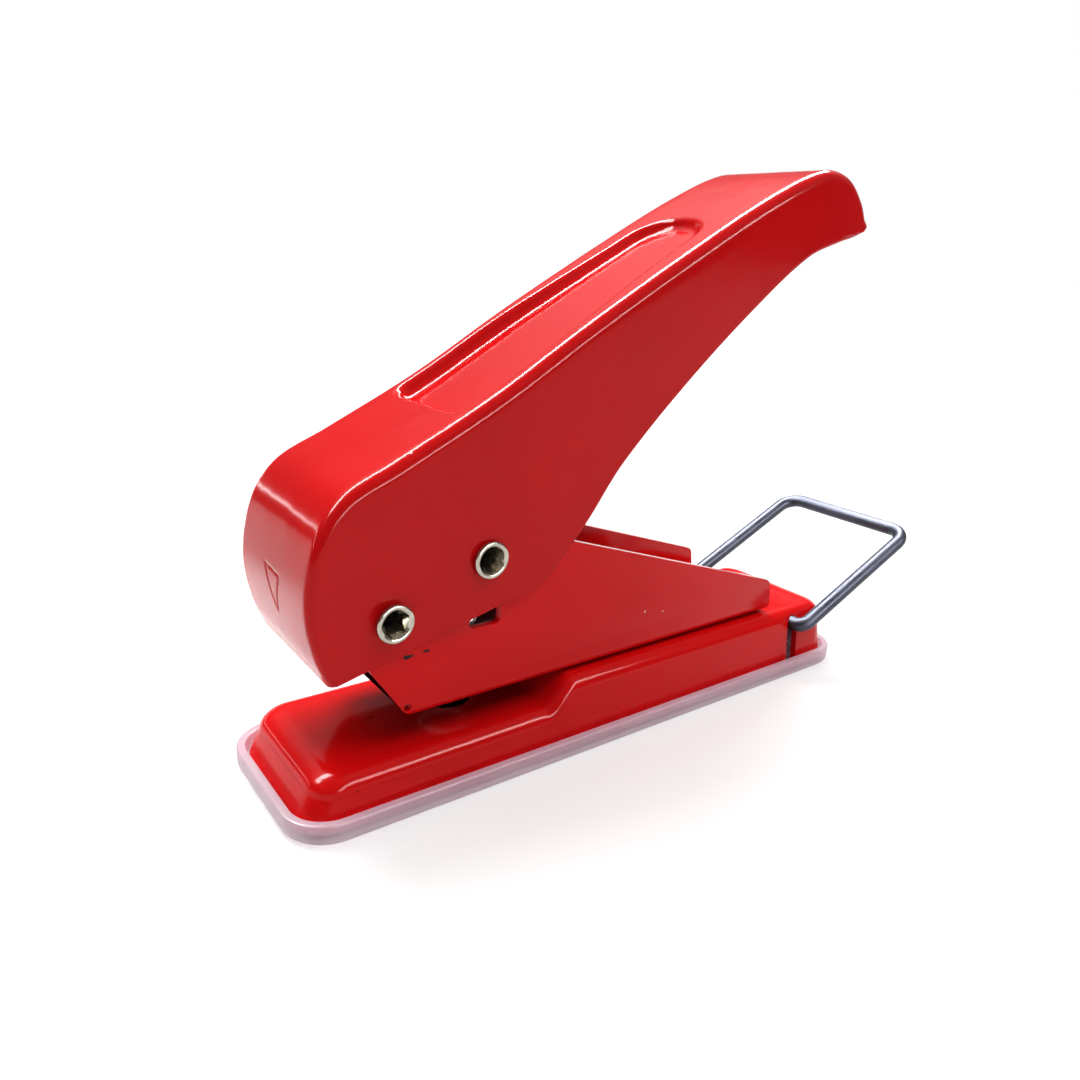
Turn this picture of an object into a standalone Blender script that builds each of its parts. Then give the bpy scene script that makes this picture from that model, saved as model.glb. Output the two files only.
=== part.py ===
"""A single hole punch with a sprung lever, as a Blender model.

A pressed sheet base stands in a plastic chip tray and carries a bent U bracket. The lever turns on
a tubular rivet at the bracket's nose. A second rivet behind it drives the punch down through the
paper throat, and a coil spring lifts it again. A wire bail at the back hooks over the pressed lever.

The part stands on z = 0 and is centred on the tray. +X runs from the nose to the lever's free end.
Lengths are in metres.
"""
import math

import bmesh
import bpy
from mathutils import Matrix, Vector

MM = 0.001

# Clearances
fit_gap = 0.3 * MM
running_gap = 0.15 * MM
cut_overrun = 2.0 * MM

# Chip tray
tray_length = 104.0 * MM
tray_width = 27.6 * MM
tray_height = 2.9 * MM
tray_floor = 1.1 * MM
tray_rim = 1.25 * MM
tray_corner_radius = 6.2 * MM
tray_edge_round = 0.9 * MM
tray_rib = 1.0 * MM
tray_rib_height = 2.6 * MM

# Pressed base: a low paper bed in front and one step up behind it
base_sheet = 1.0 * MM
bed_height = 7.4 * MM
step_height = 4.0 * MM
step_from_front = 37.5 * MM
step_run = 5.0 * MM
base_top_round = 2.6 * MM
base_side_round = 2.4 * MM
base_end_round = 3.6 * MM
base_side_lean = 0.7 * MM
base_end_lean = 1.6 * MM

# Lever pivot, drive pin and the lever's swing
pivot_from_front = 13.4 * MM
pivot_height = 26.6 * MM
pin_reach = 14.6 * MM
pin_rise = math.radians(22.1)
lever_swing = math.radians(31.2)

# Tubular rivets
rivet_radius = 1.7 * MM
rivet_bore_radius = 1.2 * MM
rivet_head_radius = 2.45 * MM
pivot_head_height = 1.2 * MM
pin_head_height = 0.75 * MM
sleeve_wall = 1.1 * MM

# U bracket
bracket_sheet = 1.2 * MM
bracket_width = 19.8 * MM
bracket_bend_radius = 1.8 * MM
bracket_rear_from_rear = 17.7 * MM
bracket_rear_height = 5.9 * MM
bracket_nose_radius = 5.6 * MM
bracket_hump_radius = 5.4 * MM
bracket_hump_angle = math.radians(60.0)
bracket_front_angle = math.radians(213.7)
bracket_corner_radius = 2.6 * MM
bracket_shoulder_reach = 11.2 * MM
bracket_shoulder_rise = 0.5 * MM
bracket_shoulder_radius = 6.0 * MM
bracket_tip_radius = 1.6 * MM
bracket_rear_lean = 0.9 * MM
bracket_heel_radius = 0.9 * MM

# Rivets that hold the bracket on the base
base_rivet_front_from_front = 50.0 * MM
base_rivet_rear_inset = 8.3 * MM
base_rivet_radius = 1.5 * MM
base_rivet_head_radius = 2.8 * MM
base_rivet_head_height = 0.9 * MM

# Lever, a pressed sheet channel that is open below
lever_sheet = 1.0 * MM
lever_width = 22.4 * MM
lever_length = 93.9 * MM
lever_height = 62.6 * MM
lever_nose_reach = 10.3 * MM
lever_nose_drop = 7.15 * MM
lever_edge_round = 1.8 * MM
lever_round_wall_share = 0.6
lever_tail_width = 20.4 * MM
recess_depth = 2.1 * MM
recess_width = 17.2 * MM
recess_wall_run = 1.3 * MM
recess_corner_radius = 2.6 * MM

# The lever seen from the side: points on its top sheet from the nose's lower end to the tail, each
# with the point on the open lower edge that lies across from it, as shares of length and height
top_line_shares = (
    (0.027, 0.000), (0.010, 0.066), (0.000, 0.153), (0.006, 0.240), (0.024, 0.315),
    (0.056, 0.370), (0.122, 0.419), (0.262, 0.526), (0.417, 0.664), (0.593, 0.811),
    (0.751, 0.934), (0.863, 1.000), (0.924, 0.994), (0.971, 0.948), (1.000, 0.891),
)
edge_line_shares = (
    (0.333, 0.114), (0.342, 0.121), (0.352, 0.130), (0.363, 0.141), (0.374, 0.157),
    (0.384, 0.175), (0.396, 0.196), (0.425, 0.248), (0.483, 0.363), (0.601, 0.533),
    (0.736, 0.699), (0.840, 0.806), (0.912, 0.843), (0.953, 0.858), (0.985, 0.873),
)
span_steps = (2, 2, 2, 2, 3, 3, 6, 7, 7, 7, 4, 3, 3, 3)

# The recess along the lever's top, as shares of the lever's length
recess_start_share = 0.214
recess_taper_share = 0.520
recess_end_share = 0.705
recess_end_width_share = 0.36
tail_taper_share = 0.860

# Punch, its head and the guide in the bracket's floor
punch_radius = 3.0 * MM
punch_tip_lift = 0.4 * MM
punch_tip_hollow = 0.9 * MM
punch_chamfer = 0.4 * MM
head_radius = 4.5 * MM
head_above_pin = 4.2 * MM
head_below_pin = 5.7 * MM
head_web = 0.8 * MM
head_slot_gap = 0.2 * MM
head_pin_radius = 0.6 * MM
guide_wall = 0.8 * MM
guide_flange_radius = 5.3 * MM
guide_flange = 0.7 * MM
washer_thickness = 0.5 * MM
washer_radius = 4.9 * MM

# Return spring
spring_wire = 0.7 * MM
spring_turns = 4.0
spring_end_turns = 0.75
spring_end_gap = 0.5 * MM
spring_points_per_turn = 10

# Die under the paper bed
die_length = 16.0 * MM
die_width = 14.0 * MM
die_thickness = 1.5 * MM
die_corner_radius = 2.0 * MM
die_bore_gap = 0.15 * MM
bed_hole_gap = 0.6 * MM

# Wire bail
bail_from_rear = 12.8 * MM
bail_height = 9.0 * MM
bail_wire_radius = 1.15 * MM
bail_width = 27.2 * MM
bail_reach = 31.1 * MM
bail_rise = math.radians(24.3)
bail_corner_radius = 3.4 * MM
bail_turn_radius = 1.8 * MM
bail_end_length = 5.0 * MM

# Facets
round_steps = 32
small_round_steps = 24
corner_steps = 6
fillet_steps = 4

# Places that follow from the sizes above
front_x = -tray_length / 2
pivot = Vector((front_x + pivot_from_front, 0, pivot_height))
pin_rest = pivot + pin_reach * Vector((math.cos(pin_rise), 0, math.sin(pin_rise)))
pin_low = pivot + pin_reach * Vector((math.cos(pin_rise - lever_swing), 0,
                                      math.sin(pin_rise - lever_swing)))
pin_drift = pivot.x + pin_reach - min(pin_rest.x, pin_low.x)
punch_x = pivot.x + pin_reach - pin_drift / 2
punch_stroke = pin_rest.z - pin_low.z
base_foot = tray_floor + fit_gap
base_half_x = tray_length / 2 - tray_rim - fit_gap
base_half_y = tray_width / 2 - tray_rim - fit_gap
deck_height = bed_height + step_height
bracket_foot = deck_height + fit_gap
bracket_floor = bracket_foot + bracket_sheet
bracket_inside = bracket_width / 2 - bracket_sheet
bracket_rear_x = tray_length / 2 - bracket_rear_from_rear
base_rivet_places = (front_x + base_rivet_front_from_front, bracket_rear_x - base_rivet_rear_inset)
bail_pivot = Vector((tray_length / 2 - bail_from_rear, 0, bail_height))


def paint(name, colour, roughness, metallic=0.0, alpha=1.0):
    """A material with one Principled shader."""
    material = bpy.data.materials.new(name)
    material.use_nodes = True
    shader = material.node_tree.nodes["Principled BSDF"]
    shader.inputs["Base Color"].default_value = (*colour, 1.0)
    shader.inputs["Roughness"].default_value = roughness
    shader.inputs["Metallic"].default_value = metallic
    shader.inputs["Alpha"].default_value = alpha
    return material


def add_object(name, mesh_data, material, origin=Vector((0, 0, 0))):
    """Put mesh data given in world places into the scene, with its origin at the point given."""
    mesh_data.transform(Matrix.Translation(-origin))
    mesh_data.materials.append(material)
    made = bpy.data.objects.new(name, mesh_data)
    made.location = origin
    bpy.context.scene.collection.objects.link(made)
    return made


def mesh_from(bm, name):
    """Turn a bmesh into mesh data with faces pointing out and rounds shaded smooth."""
    bmesh.ops.recalc_face_normals(bm, faces=bm.faces)
    mesh_data = bpy.data.meshes.new(name)
    bm.to_mesh(mesh_data)
    bm.free()
    mesh_data.shade_smooth()
    mesh_data.set_sharp_from_angle(angle=math.radians(35))
    return mesh_data


def bridge(bm, first, second):
    """Faces between two closed rings with the same number of vertices."""
    count = len(first)
    for i in range(count):
        j = (i + 1) % count
        bm.faces.new((first[i], first[j], second[j], second[i]))


def cutter(name, mesh_data, target, operation="DIFFERENCE"):
    """Cut the target with a guide body and a Boolean modifier."""
    tool = bpy.data.objects.new(name, mesh_data)
    tool.hide_render = True
    tool.display_type = "WIRE"
    bpy.context.scene.collection.objects.link(tool)
    cut = target.modifiers.new(name, "BOOLEAN")
    cut.operation = operation
    cut.solver = "EXACT"
    cut.object = tool


def hold_on(carrier, *pieces):
    """Parent pieces to the one that carries them, without moving them."""
    for piece in pieces:
        piece.parent = carrier
        piece.matrix_parent_inverse = Matrix.Translation(-carrier.location)


def arc(centre, radius, start, end, steps):
    """Points (u, v) on an arc from one angle to another, both ends included."""
    return [
        (centre[0] + radius * math.cos(start + (end - start) * i / steps),
         centre[1] + radius * math.sin(start + (end - start) * i / steps))
        for i in range(steps + 1)
    ]


def round_corner(before, corner, after, radius, steps):
    """The arc that rounds the corner of a path, in 2 or 3 dimensions."""
    before, corner, after = Vector(before), Vector(corner), Vector(after)
    a = (before - corner).normalized()
    b = (after - corner).normalized()
    half = math.acos(max(-1.0, min(1.0, a.dot(b)))) / 2
    start = corner + a * radius / math.tan(half)
    centre = corner + (a + b).normalized() * radius / math.sin(half)
    turn = math.pi - 2 * half
    u = (start - centre).normalized()
    v = -a
    return [centre + radius * (u * math.cos(turn * i / steps) + v * math.sin(turn * i / steps))
            for i in range(steps + 1)]


def extruded(name, outline, depth, to_world):
    """A prism over a closed outline: (u, v) points, from -depth/2 to depth/2, placed by to_world."""
    bm = bmesh.new()
    low = [bm.verts.new(to_world(u, v, -depth / 2)) for u, v in outline]
    high = [bm.verts.new(to_world(u, v, depth / 2)) for u, v in outline]
    bm.faces.new(low)
    bm.faces.new(high)
    bridge(bm, low, high)
    return mesh_from(bm, name)


def turned(name, profile, to_world, steps, tube=False):
    """A turned body: profile of (radius, height) points, placed by to_world(side, side, along).

    The profile of a solid body starts and ends on the axis. That of a tube is a closed loop.
    """
    bm = bmesh.new()
    rings = []
    for radius, height in profile:
        if radius == 0:
            rings.append([bm.verts.new(to_world(0, 0, height))])
            continue
        ring = []
        for i in range(steps):
            angle = math.tau * i / steps
            ring.append(bm.verts.new(
                to_world(radius * math.cos(angle), radius * math.sin(angle), height)))
        rings.append(ring)
    pairs = list(zip(rings[:-1], rings[1:]))
    if tube:
        pairs.append((rings[-1], rings[0]))
    for first, second in pairs:
        if len(first) == 1 or len(second) == 1:
            tip, ring = (first[0], second) if len(first) == 1 else (second[0], first)
            for i in range(steps):
                bm.faces.new((tip, ring[i], ring[(i + 1) % steps]))
        else:
            bridge(bm, first, second)
    return mesh_from(bm, name)


def across(place):
    """Placing function for bodies turned about Y through a point."""
    return lambda u, v, along: place + Vector((u, along, v))


def upright(place):
    """Placing function for bodies turned about Z through a point."""
    return lambda u, v, along: place + Vector((u, v, along))


def round_bar(name, place_by, radius, low, high, steps):
    """A plain round bar, used as a cutter."""
    return turned(name, [(0, low), (radius, low), (radius, high), (0, high)], place_by, steps)


def rounded_ring(half_x, half_y, radius, side_places=()):
    """Plan points of a rectangle with round corners, anticlockwise from the near right corner.

    side_places are extra x places on both long sides.
    """
    centre_x = half_x - radius
    centre_y = half_y - radius
    quarter = math.pi / 2
    points = arc((centre_x, -centre_y), radius, -quarter, 0, corner_steps)
    points += arc((centre_x, centre_y), radius, 0, quarter, corner_steps)
    points += [(x, half_y) for x in reversed(side_places)]
    points += arc((-centre_x, centre_y), radius, quarter, 2 * quarter, corner_steps)
    points += arc((-centre_x, -centre_y), radius, 2 * quarter, 3 * quarter, corner_steps)
    points += [(x, -half_y) for x in side_places]
    return points


def cap_ladder(bm, ring, extra):
    """Close a ring from rounded_ring with strips between its long sides and a face at each end."""
    corner = corner_steps + 1
    right_end = ring[:2 * corner]
    far_side = ring[2 * corner:2 * corner + extra]
    left_end = ring[2 * corner + extra:4 * corner + extra]
    near_side = ring[4 * corner + extra:]
    far = [right_end[-1]] + far_side + [left_end[0]]
    near = [right_end[0]] + near_side[::-1] + [left_end[-1]]
    bm.faces.new(right_end)
    bm.faces.new(left_end)
    for i in range(len(far) - 1):
        bm.faces.new((near[i], far[i], far[i + 1], near[i + 1]))


def make_chip_tray(material):
    """Shallow tray with a rounded foot, a rim round the base and a rib inside the base's wall."""
    rim_foot = [
        (tray_edge_round * (1 - math.sin(angle)), tray_edge_round * (1 - math.cos(angle)))
        for angle in (i * math.pi / 2 / fillet_steps for i in range(fillet_steps + 1))
    ]
    inside = tray_rim
    rib_inset_x = tray_length / 2 - (base_half_x - base_sheet - base_end_lean - fit_gap)
    rib_inset_y = tray_width / 2 - (base_half_y - base_sheet - base_side_lean - fit_gap)
    rib_top = tray_floor + tray_rib_height
    # inset along x, inset along y and height of each ring, from the foot round to the floor
    rings = [(inset, inset, height) for inset, height in rim_foot]
    rings += [
        (0, 0, tray_height),
        (inside, inside, tray_height),
        (inside, inside, tray_floor),
        (rib_inset_x, rib_inset_y, tray_floor),
        (rib_inset_x, rib_inset_y, rib_top),
        (rib_inset_x + tray_rib, rib_inset_y + tray_rib, rib_top),
        (rib_inset_x + tray_rib, rib_inset_y + tray_rib, tray_floor),
    ]
    bm = bmesh.new()
    loops = []
    for inset_x, inset_y, height in rings:
        radius = max(tray_corner_radius - max(inset_x, inset_y), tray_rib)
        plan = rounded_ring(tray_length / 2 - inset_x, tray_width / 2 - inset_y, radius)
        loops.append([bm.verts.new((x, y, height)) for x, y in plan])
    for first, second in zip(loops[:-1], loops[1:]):
        bridge(bm, first, second)
    bm.faces.new(loops[0])
    bm.faces.new(loops[-1])
    add_object("chip_tray", mesh_from(bm, "chip_tray"), material)


def step_share(x):
    """How far the base's top has risen at a place along X, from 0 on the bed to 1 on the deck."""
    start = front_x + step_from_front
    t = min(1.0, max(0.0, (x - start) / step_run))
    return t * t * (3 - 2 * t)


def make_base_shell(material):
    """Pressed cover with leaning walls and a rounded top edge that steps up behind the throat."""
    step_start = front_x + step_from_front
    corner_radius = tray_corner_radius - tray_rim - fit_gap
    side_places = [front_x + pivot_from_front]
    side_places += [step_start + step_run * i / corner_steps for i in range(corner_steps + 1)]
    side_places += [step_start + 2 * step_run, bail_pivot.x]
    round_angles = [math.pi / 2 * i / fillet_steps for i in range(fillet_steps + 1)]

    def surface(bm, inward):
        loops = []
        foot = rounded_ring(base_half_x - inward, base_half_y - inward,
                            corner_radius - inward, side_places)
        loops.append([bm.verts.new((x, y, base_foot)) for x, y in foot])
        for angle in round_angles:
            run = 1 - math.cos(angle)
            inset_x = base_end_lean + (base_end_round - inward) * run + inward
            inset_y = base_side_lean + (base_side_round - inward) * run + inward
            drop = (base_top_round - inward) * (1 - math.sin(angle)) + inward
            radius = max(corner_radius - inset_y, base_sheet)
            plan = rounded_ring(base_half_x - inset_x, base_half_y - inset_y, radius, side_places)
            loops.append([
                bm.verts.new((x, y, bed_height + step_height * step_share(x) - drop))
                for x, y in plan
            ])
        for first, second in zip(loops[:-1], loops[1:]):
            bridge(bm, first, second)
        cap_ladder(bm, loops[-1], len(side_places))
        return loops[0]

    bm = bmesh.new()
    bridge(bm, surface(bm, 0), surface(bm, base_sheet))
    shell = add_object("base_shell", mesh_from(bm, "base_shell"), material)

    # hole over the die and the holes of the bracket's rivets
    deck_high = deck_height + cut_overrun
    cutter("cut_bed_hole", round_bar("cut_bed_hole", upright(Vector((punch_x, 0, 0))),
                                     punch_radius + bed_hole_gap, base_foot, deck_high, round_steps),
           shell)
    for number, place in enumerate(base_rivet_places):
        name = f"cut_deck_rivet_{number}"
        cutter(name, round_bar(name, upright(Vector((place, 0, 0))),
                               base_rivet_radius + fit_gap, base_foot, deck_high,
                               small_round_steps), shell)

    # slits in both walls, open below, in which the bail's ends turn
    half = bail_wire_radius + running_gap
    outline = arc((bail_pivot.x, bail_pivot.z), half, 0, math.pi, corner_steps * 2)
    outline += [(bail_pivot.x - half, base_foot - cut_overrun),
                (bail_pivot.x + half, base_foot - cut_overrun)]
    cutter("cut_bail_slits", extruded("cut_bail_slits", outline, tray_width,
                                      lambda u, v, d: Vector((u, d, v))), shell)


def make_die_plate(material):
    """Small plate under the paper bed with the die hole."""
    top = bed_height - base_sheet - fit_gap
    plan = rounded_ring(die_length / 2, die_width / 2, die_corner_radius)
    middle = Vector((punch_x, 0, top - die_thickness / 2))
    plate = add_object("die_plate", extruded("die_plate", plan, die_thickness, upright(middle)),
                       material)
    cutter("cut_die", round_bar("cut_die", upright(middle), punch_radius + die_bore_gap,
                                -die_thickness, die_thickness, round_steps), plate)


def bracket_side_outline():
    """The bracket seen from the side, clockwise from its lower front corner."""
    boss_to_hump = math.atan2(pin_rest.z - pivot.z, punch_x - pivot.x)
    brow = boss_to_hump + math.pi / 2
    points = arc((pivot.x, pivot.z), bracket_nose_radius, bracket_front_angle, brow, 2 * corner_steps)
    points += arc((punch_x, pin_rest.z), bracket_hump_radius, brow, bracket_hump_angle,
                  corner_steps)
    rear_top = (bracket_rear_x - bracket_rear_lean, bracket_foot + bracket_rear_height)
    shoulder = (punch_x + bracket_shoulder_reach, pin_rest.z + bracket_shoulder_rise)
    foot_rear = (bracket_rear_x, bracket_foot)
    # the front edge leans back from the nose boss to the lower front corner
    lean = bracket_front_angle - math.pi / 2
    drop = (points[0][1] - bracket_foot) / math.sin(lean)
    foot_front = (points[0][0] - drop * math.cos(lean), bracket_foot)
    for before, corner, after, radius in (
            (points[-1], shoulder, rear_top, bracket_shoulder_radius),
            (shoulder, rear_top, foot_rear, bracket_tip_radius),
            (rear_top, foot_rear, foot_front, bracket_heel_radius),
            (foot_rear, foot_front, points[0], bracket_corner_radius)):
        points += [tuple(point) for point in
                   round_corner(before, corner, after, radius, fillet_steps)]
    return points


def make_bracket(material):
    """Sheet bent into a U along X and trimmed to its side outline."""
    half = bracket_width / 2
    outer = bracket_bend_radius
    inner = bracket_bend_radius - bracket_sheet
    high = pin_rest.z + 2 * bracket_hump_radius
    low_z = bracket_foot + outer
    quarter = math.pi / 2
    section = [(-half, high)]
    section += arc((-half + outer, low_z), outer, 2 * quarter, 3 * quarter, fillet_steps)
    section += arc((half - outer, low_z), outer, -quarter, 0, fillet_steps)
    section += [(half, high), (half - bracket_sheet, high)]
    section += arc((half - outer, low_z), inner, 0, -quarter, fillet_steps)
    section += arc((-half + outer, low_z), inner, 3 * quarter, 2 * quarter, fillet_steps)
    section += [(-half + bracket_sheet, high)]
    channel = extruded("frame_bracket", section, 2 * tray_length,
                       lambda u, v, d: Vector((d, u, v)))
    bracket = add_object("frame_bracket", channel, material)

    side = extruded("trim_bracket", bracket_side_outline(), bracket_width + 2 * cut_overrun,
                    lambda u, v, d: Vector((u, d, v)))
    cutter("trim_bracket", side, bracket, "INTERSECT")

    # pivot hole and the upright slots in which the drive pin runs
    reach = half + cut_overrun
    cutter("cut_bracket_pivot", round_bar("cut_bracket_pivot", across(pivot),
                                          rivet_radius + running_gap, -reach, reach,
                                          small_round_steps), bracket)
    slot_half = rivet_radius + pin_drift / 2 + running_gap
    slot_end = rivet_radius + fit_gap - slot_half
    slot = arc((punch_x, pin_rest.z + slot_end), slot_half, 0, math.pi, 2 * corner_steps)
    slot += arc((punch_x, pin_low.z - slot_end), slot_half, math.pi, 2 * math.pi,
                2 * corner_steps)
    cutter("cut_pin_slots", extruded("cut_pin_slots", slot, 2 * reach,
                                     lambda u, v, d: Vector((u, d, v))), bracket)

    # holes in the floor for the punch guide and the rivets
    low = bracket_foot - cut_overrun
    top = bracket_floor + cut_overrun
    cutter("cut_guide_hole", round_bar(
        "cut_guide_hole", upright(Vector((punch_x, 0, 0))),
        punch_radius + running_gap + guide_wall + fit_gap, low, top, round_steps), bracket)
    for number, place in enumerate(base_rivet_places):
        name = f"cut_floor_rivet_{number}"
        cutter(name, round_bar(name, upright(Vector((place, 0, 0))),
                               base_rivet_radius + fit_gap, low, top, small_round_steps), bracket)


def make_base_rivet(name, place, material):
    """Solid rivet through the bracket's floor and the deck, with a low dome at each end."""
    radius, head, rise = base_rivet_radius, base_rivet_head_radius, base_rivet_head_height
    upper = bracket_floor + fit_gap
    lower = deck_height - base_sheet - fit_gap
    dome = [(head * math.cos(math.pi / 2 * i / fillet_steps),
             rise * math.sin(math.pi / 2 * i / fillet_steps)) for i in range(fillet_steps)]
    profile = [(0, lower - rise)]
    profile += [(across_r, lower - up) for across_r, up in reversed(dome)]
    profile += [(radius, lower), (radius, upper)]
    profile += [(across_r, upper + up) for across_r, up in dome]
    profile += [(0, upper + rise)]
    body = turned(name, profile, upright(Vector((place, 0, 0))), small_round_steps)
    add_object(name, body, material)


def make_tubular_rivet(name, place, head_height, material):
    """Tube across the lever with a rolled ring at each end, standing proud of the lever's side."""
    seat = lever_width / 2 + running_gap
    crown = head_height / 2
    lip = (rivet_head_radius - rivet_bore_radius) / 2
    middle = rivet_bore_radius + lip
    ring = [(rivet_head_radius, seat), (rivet_head_radius, seat + head_height - crown)]
    ring += [(middle + lip * math.cos(angle), seat + head_height - crown + crown * math.sin(angle))
             for angle in (math.pi * i / corner_steps for i in range(1, corner_steps))]
    ring += [(rivet_bore_radius, seat + head_height - crown)]
    half = [(rivet_radius, seat)] + ring
    profile = half + [(radius, -height) for radius, height in reversed(half)]
    body = turned(name, profile, across(place), small_round_steps, tube=True)
    return add_object(name, body, material, place)


def make_sleeve(name, place, low, high, material):
    """Plain sleeve on one of the tubular rivets."""
    inner = rivet_radius + running_gap
    outer = inner + sleeve_wall
    profile = [(outer, low), (outer, high), (inner, high), (inner, low)]
    body = turned(name, profile, across(place), small_round_steps, tube=True)
    return add_object(name, body, material, place)


def smooth_line(points, steps_per_span):
    """A smooth line through points, with tangents that follow the chords on both sides."""
    points = [Vector(point) for point in points]
    chords = [(b - a).length for a, b in zip(points[:-1], points[1:])]
    slopes = [(points[1] - points[0]) / chords[0]]
    slopes += [(points[i + 1] - points[i - 1]) / (chords[i - 1] + chords[i])
               for i in range(1, len(points) - 1)]
    slopes += [(points[-1] - points[-2]) / chords[-1]]
    line = [points[0]]
    for i, steps in enumerate(steps_per_span):
        for k in range(1, steps + 1):
            t = k / steps
            line.append(
                points[i] * (2 * t ** 3 - 3 * t ** 2 + 1)
                + slopes[i] * chords[i] * (t ** 3 - 2 * t ** 2 + t)
                + points[i + 1] * (3 * t ** 2 - 2 * t ** 3)
                + slopes[i + 1] * chords[i] * (t ** 3 - t ** 2))
    return line


def lever_half_width(x, sheet):
    """Half the lever's width at a place along X: even, then drawn in towards the tail."""
    share = (x - (pivot.x - lever_nose_reach)) / lever_length
    t = min(1.0, max(0.0, (share - tail_taper_share) / (1 - tail_taper_share)))
    return (lever_width - (lever_width - lever_tail_width) * t * t) / 2 - sheet


def recess_half_width(share):
    """Half the width of the recess: full, then closing in an arch towards its upper end."""
    full = recess_width / 2
    corner = recess_corner_radius / lever_length
    into_corner = min(1.0, max(0.0, (share - recess_start_share) / corner))
    start = full - recess_corner_radius * (1 - math.sqrt(into_corner * (2 - into_corner)))
    t = min(1.0, max(0.0, (share - recess_taper_share) / (recess_end_share - recess_taper_share)))
    return start * max(recess_end_width_share, (1 - t ** 1.8) ** 0.8)


def recess_share(share):
    """Depth of the recess's floor along the lever, from 0 outside to 1 inside."""
    run = recess_wall_run / lever_length
    rise = (share - recess_start_share) / run
    fall = (recess_end_share - share) / run
    return min(1.0, max(0.0, min(rise, fall)))


def make_lever(material):
    """Pressed channel: a top sheet that runs down over the nose and the tail, and two sides."""
    nose_x = pivot.x - lever_nose_reach
    low_z = pivot.z - lever_nose_drop

    def placed(shares):
        return [(nose_x + u * lever_length, low_z + v * lever_height) for u, v in shares]

    top_line = smooth_line(placed(top_line_shares), span_steps)
    edge_line = smooth_line(placed(edge_line_shares), span_steps)
    bm = bmesh.new()
    outer, inner = [], []
    for i, (top, edge) in enumerate(zip(top_line, edge_line)):
        ahead = top_line[min(i + 1, len(top_line) - 1)]
        behind = top_line[max(i - 1, 0)]
        tangent = (ahead - behind).normalized()
        inward = Vector((tangent.y, -tangent.x))
        down = (edge - top).normalized()
        stretch = 1 / max(down.dot(inward), 0.5)
        wall = (edge - top).length / stretch
        share = (top.x - nose_x) / lever_length
        # near the tail the wall gets low, and the rounded edge shrinks with it
        roundness = min(1.0, wall * lever_round_wall_share / lever_edge_round)
        for sheet, rows in ((0, outer), (lever_sheet, inner)):
            radius = (lever_edge_round - sheet) * roundness
            line_half = recess_half_width(share)
            floor = line_half - recess_wall_run
            sunk = recess_depth * recess_share(share)
            flat = lever_half_width(top.x, sheet) - radius
            ys = [(-flat, 0), (-line_half, 0), (-floor, sunk), (-floor / 3, sunk)]
            ys += [(-y, depth) for y, depth in reversed(ys)]
            row = []
            for side in (-1, 1):
                # one side from its lower edge up over the fillet, or back down again
                rim = [(edge, 1.0)]
                for k in range(fillet_steps):
                    angle = math.pi / 2 * k / fillet_steps
                    depth = (radius * (1 - math.sin(angle)) + sheet) * stretch
                    rim.append((top + down * depth, math.cos(angle)))
                points = []
                for flat_point, out in rim:
                    half = lever_half_width(flat_point.x, sheet) - radius * (1 - out)
                    points.append(Vector((flat_point.x, side * half, flat_point.y)))
                if side < 0:
                    row += points
                    for y, depth in ys:
                        place = top + down * (sheet * stretch) + inward * depth
                        row.append(Vector((place.x, y, place.y)))
                else:
                    row += reversed(points)
            rows.append([bm.verts.new(point) for point in row])
    for rows in (outer, inner):
        for first, second in zip(rows[:-1], rows[1:]):
            for a, b, c, d in zip(first[:-1], first[1:], second[1:], second[:-1]):
                bm.faces.new((a, b, c, d))
    # the sheet's cut edge: both lower edges, the nose's end and the tail's end
    for k in (0, -1):
        for i in range(len(outer) - 1):
            bm.faces.new((outer[i][k], outer[i + 1][k], inner[i + 1][k], inner[i][k]))
        for a, b, c, d in zip(outer[k][:-1], outer[k][1:], inner[k][1:], inner[k][:-1]):
            bm.faces.new((a, b, c, d))
    lever = add_object("handle_shell", mesh_from(bm, "handle_shell"), material, pivot)

    reach = lever_width / 2 + cut_overrun
    cutter("cut_lever_pivot", round_bar("cut_lever_pivot", across(pivot),
                                        rivet_radius + running_gap, -reach, reach,
                                        small_round_steps), lever)
    cutter("cut_lever_pin", round_bar("cut_lever_pin", across(pin_rest),
                                      rivet_radius + running_gap, -reach, reach,
                                      small_round_steps), lever)
    return lever


def make_punch_rod(material):
    """Ground punch with a hollow tip."""
    place = Vector((punch_x, 0, 0))
    tip = bracket_foot + punch_tip_lift
    top = pin_rest.z - rivet_radius - head_slot_gap - head_web - fit_gap
    profile = [(0, tip + punch_tip_hollow), (punch_radius, tip),
               (punch_radius, top - punch_chamfer), (punch_radius - punch_chamfer, top), (0, top)]
    rod = add_object("punch_rod", turned("punch_rod", profile, upright(place), round_steps),
                     material, Vector((punch_x, 0, tip)))
    cut_head_pin_hole("cut_rod_pin", rod)
    return rod


def head_pin_height():
    """Height of the small cross pin, half way up the rod's stretch inside the head."""
    head_foot = pin_rest.z - head_below_pin
    rod_top = pin_rest.z - rivet_radius - head_slot_gap - head_web - fit_gap
    return (head_foot + rod_top) / 2


def cut_head_pin_hole(name, target):
    """Cross hole along X for the small pin that holds the head on the rod."""
    middle = Vector((punch_x, 0, head_pin_height()))
    hole = round_bar(name, lambda u, v, along: middle + Vector((along, u, v)),
                     head_pin_radius + fit_gap, -2 * head_radius, 2 * head_radius,
                     small_round_steps // 2)
    cutter(name, hole, target)


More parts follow.
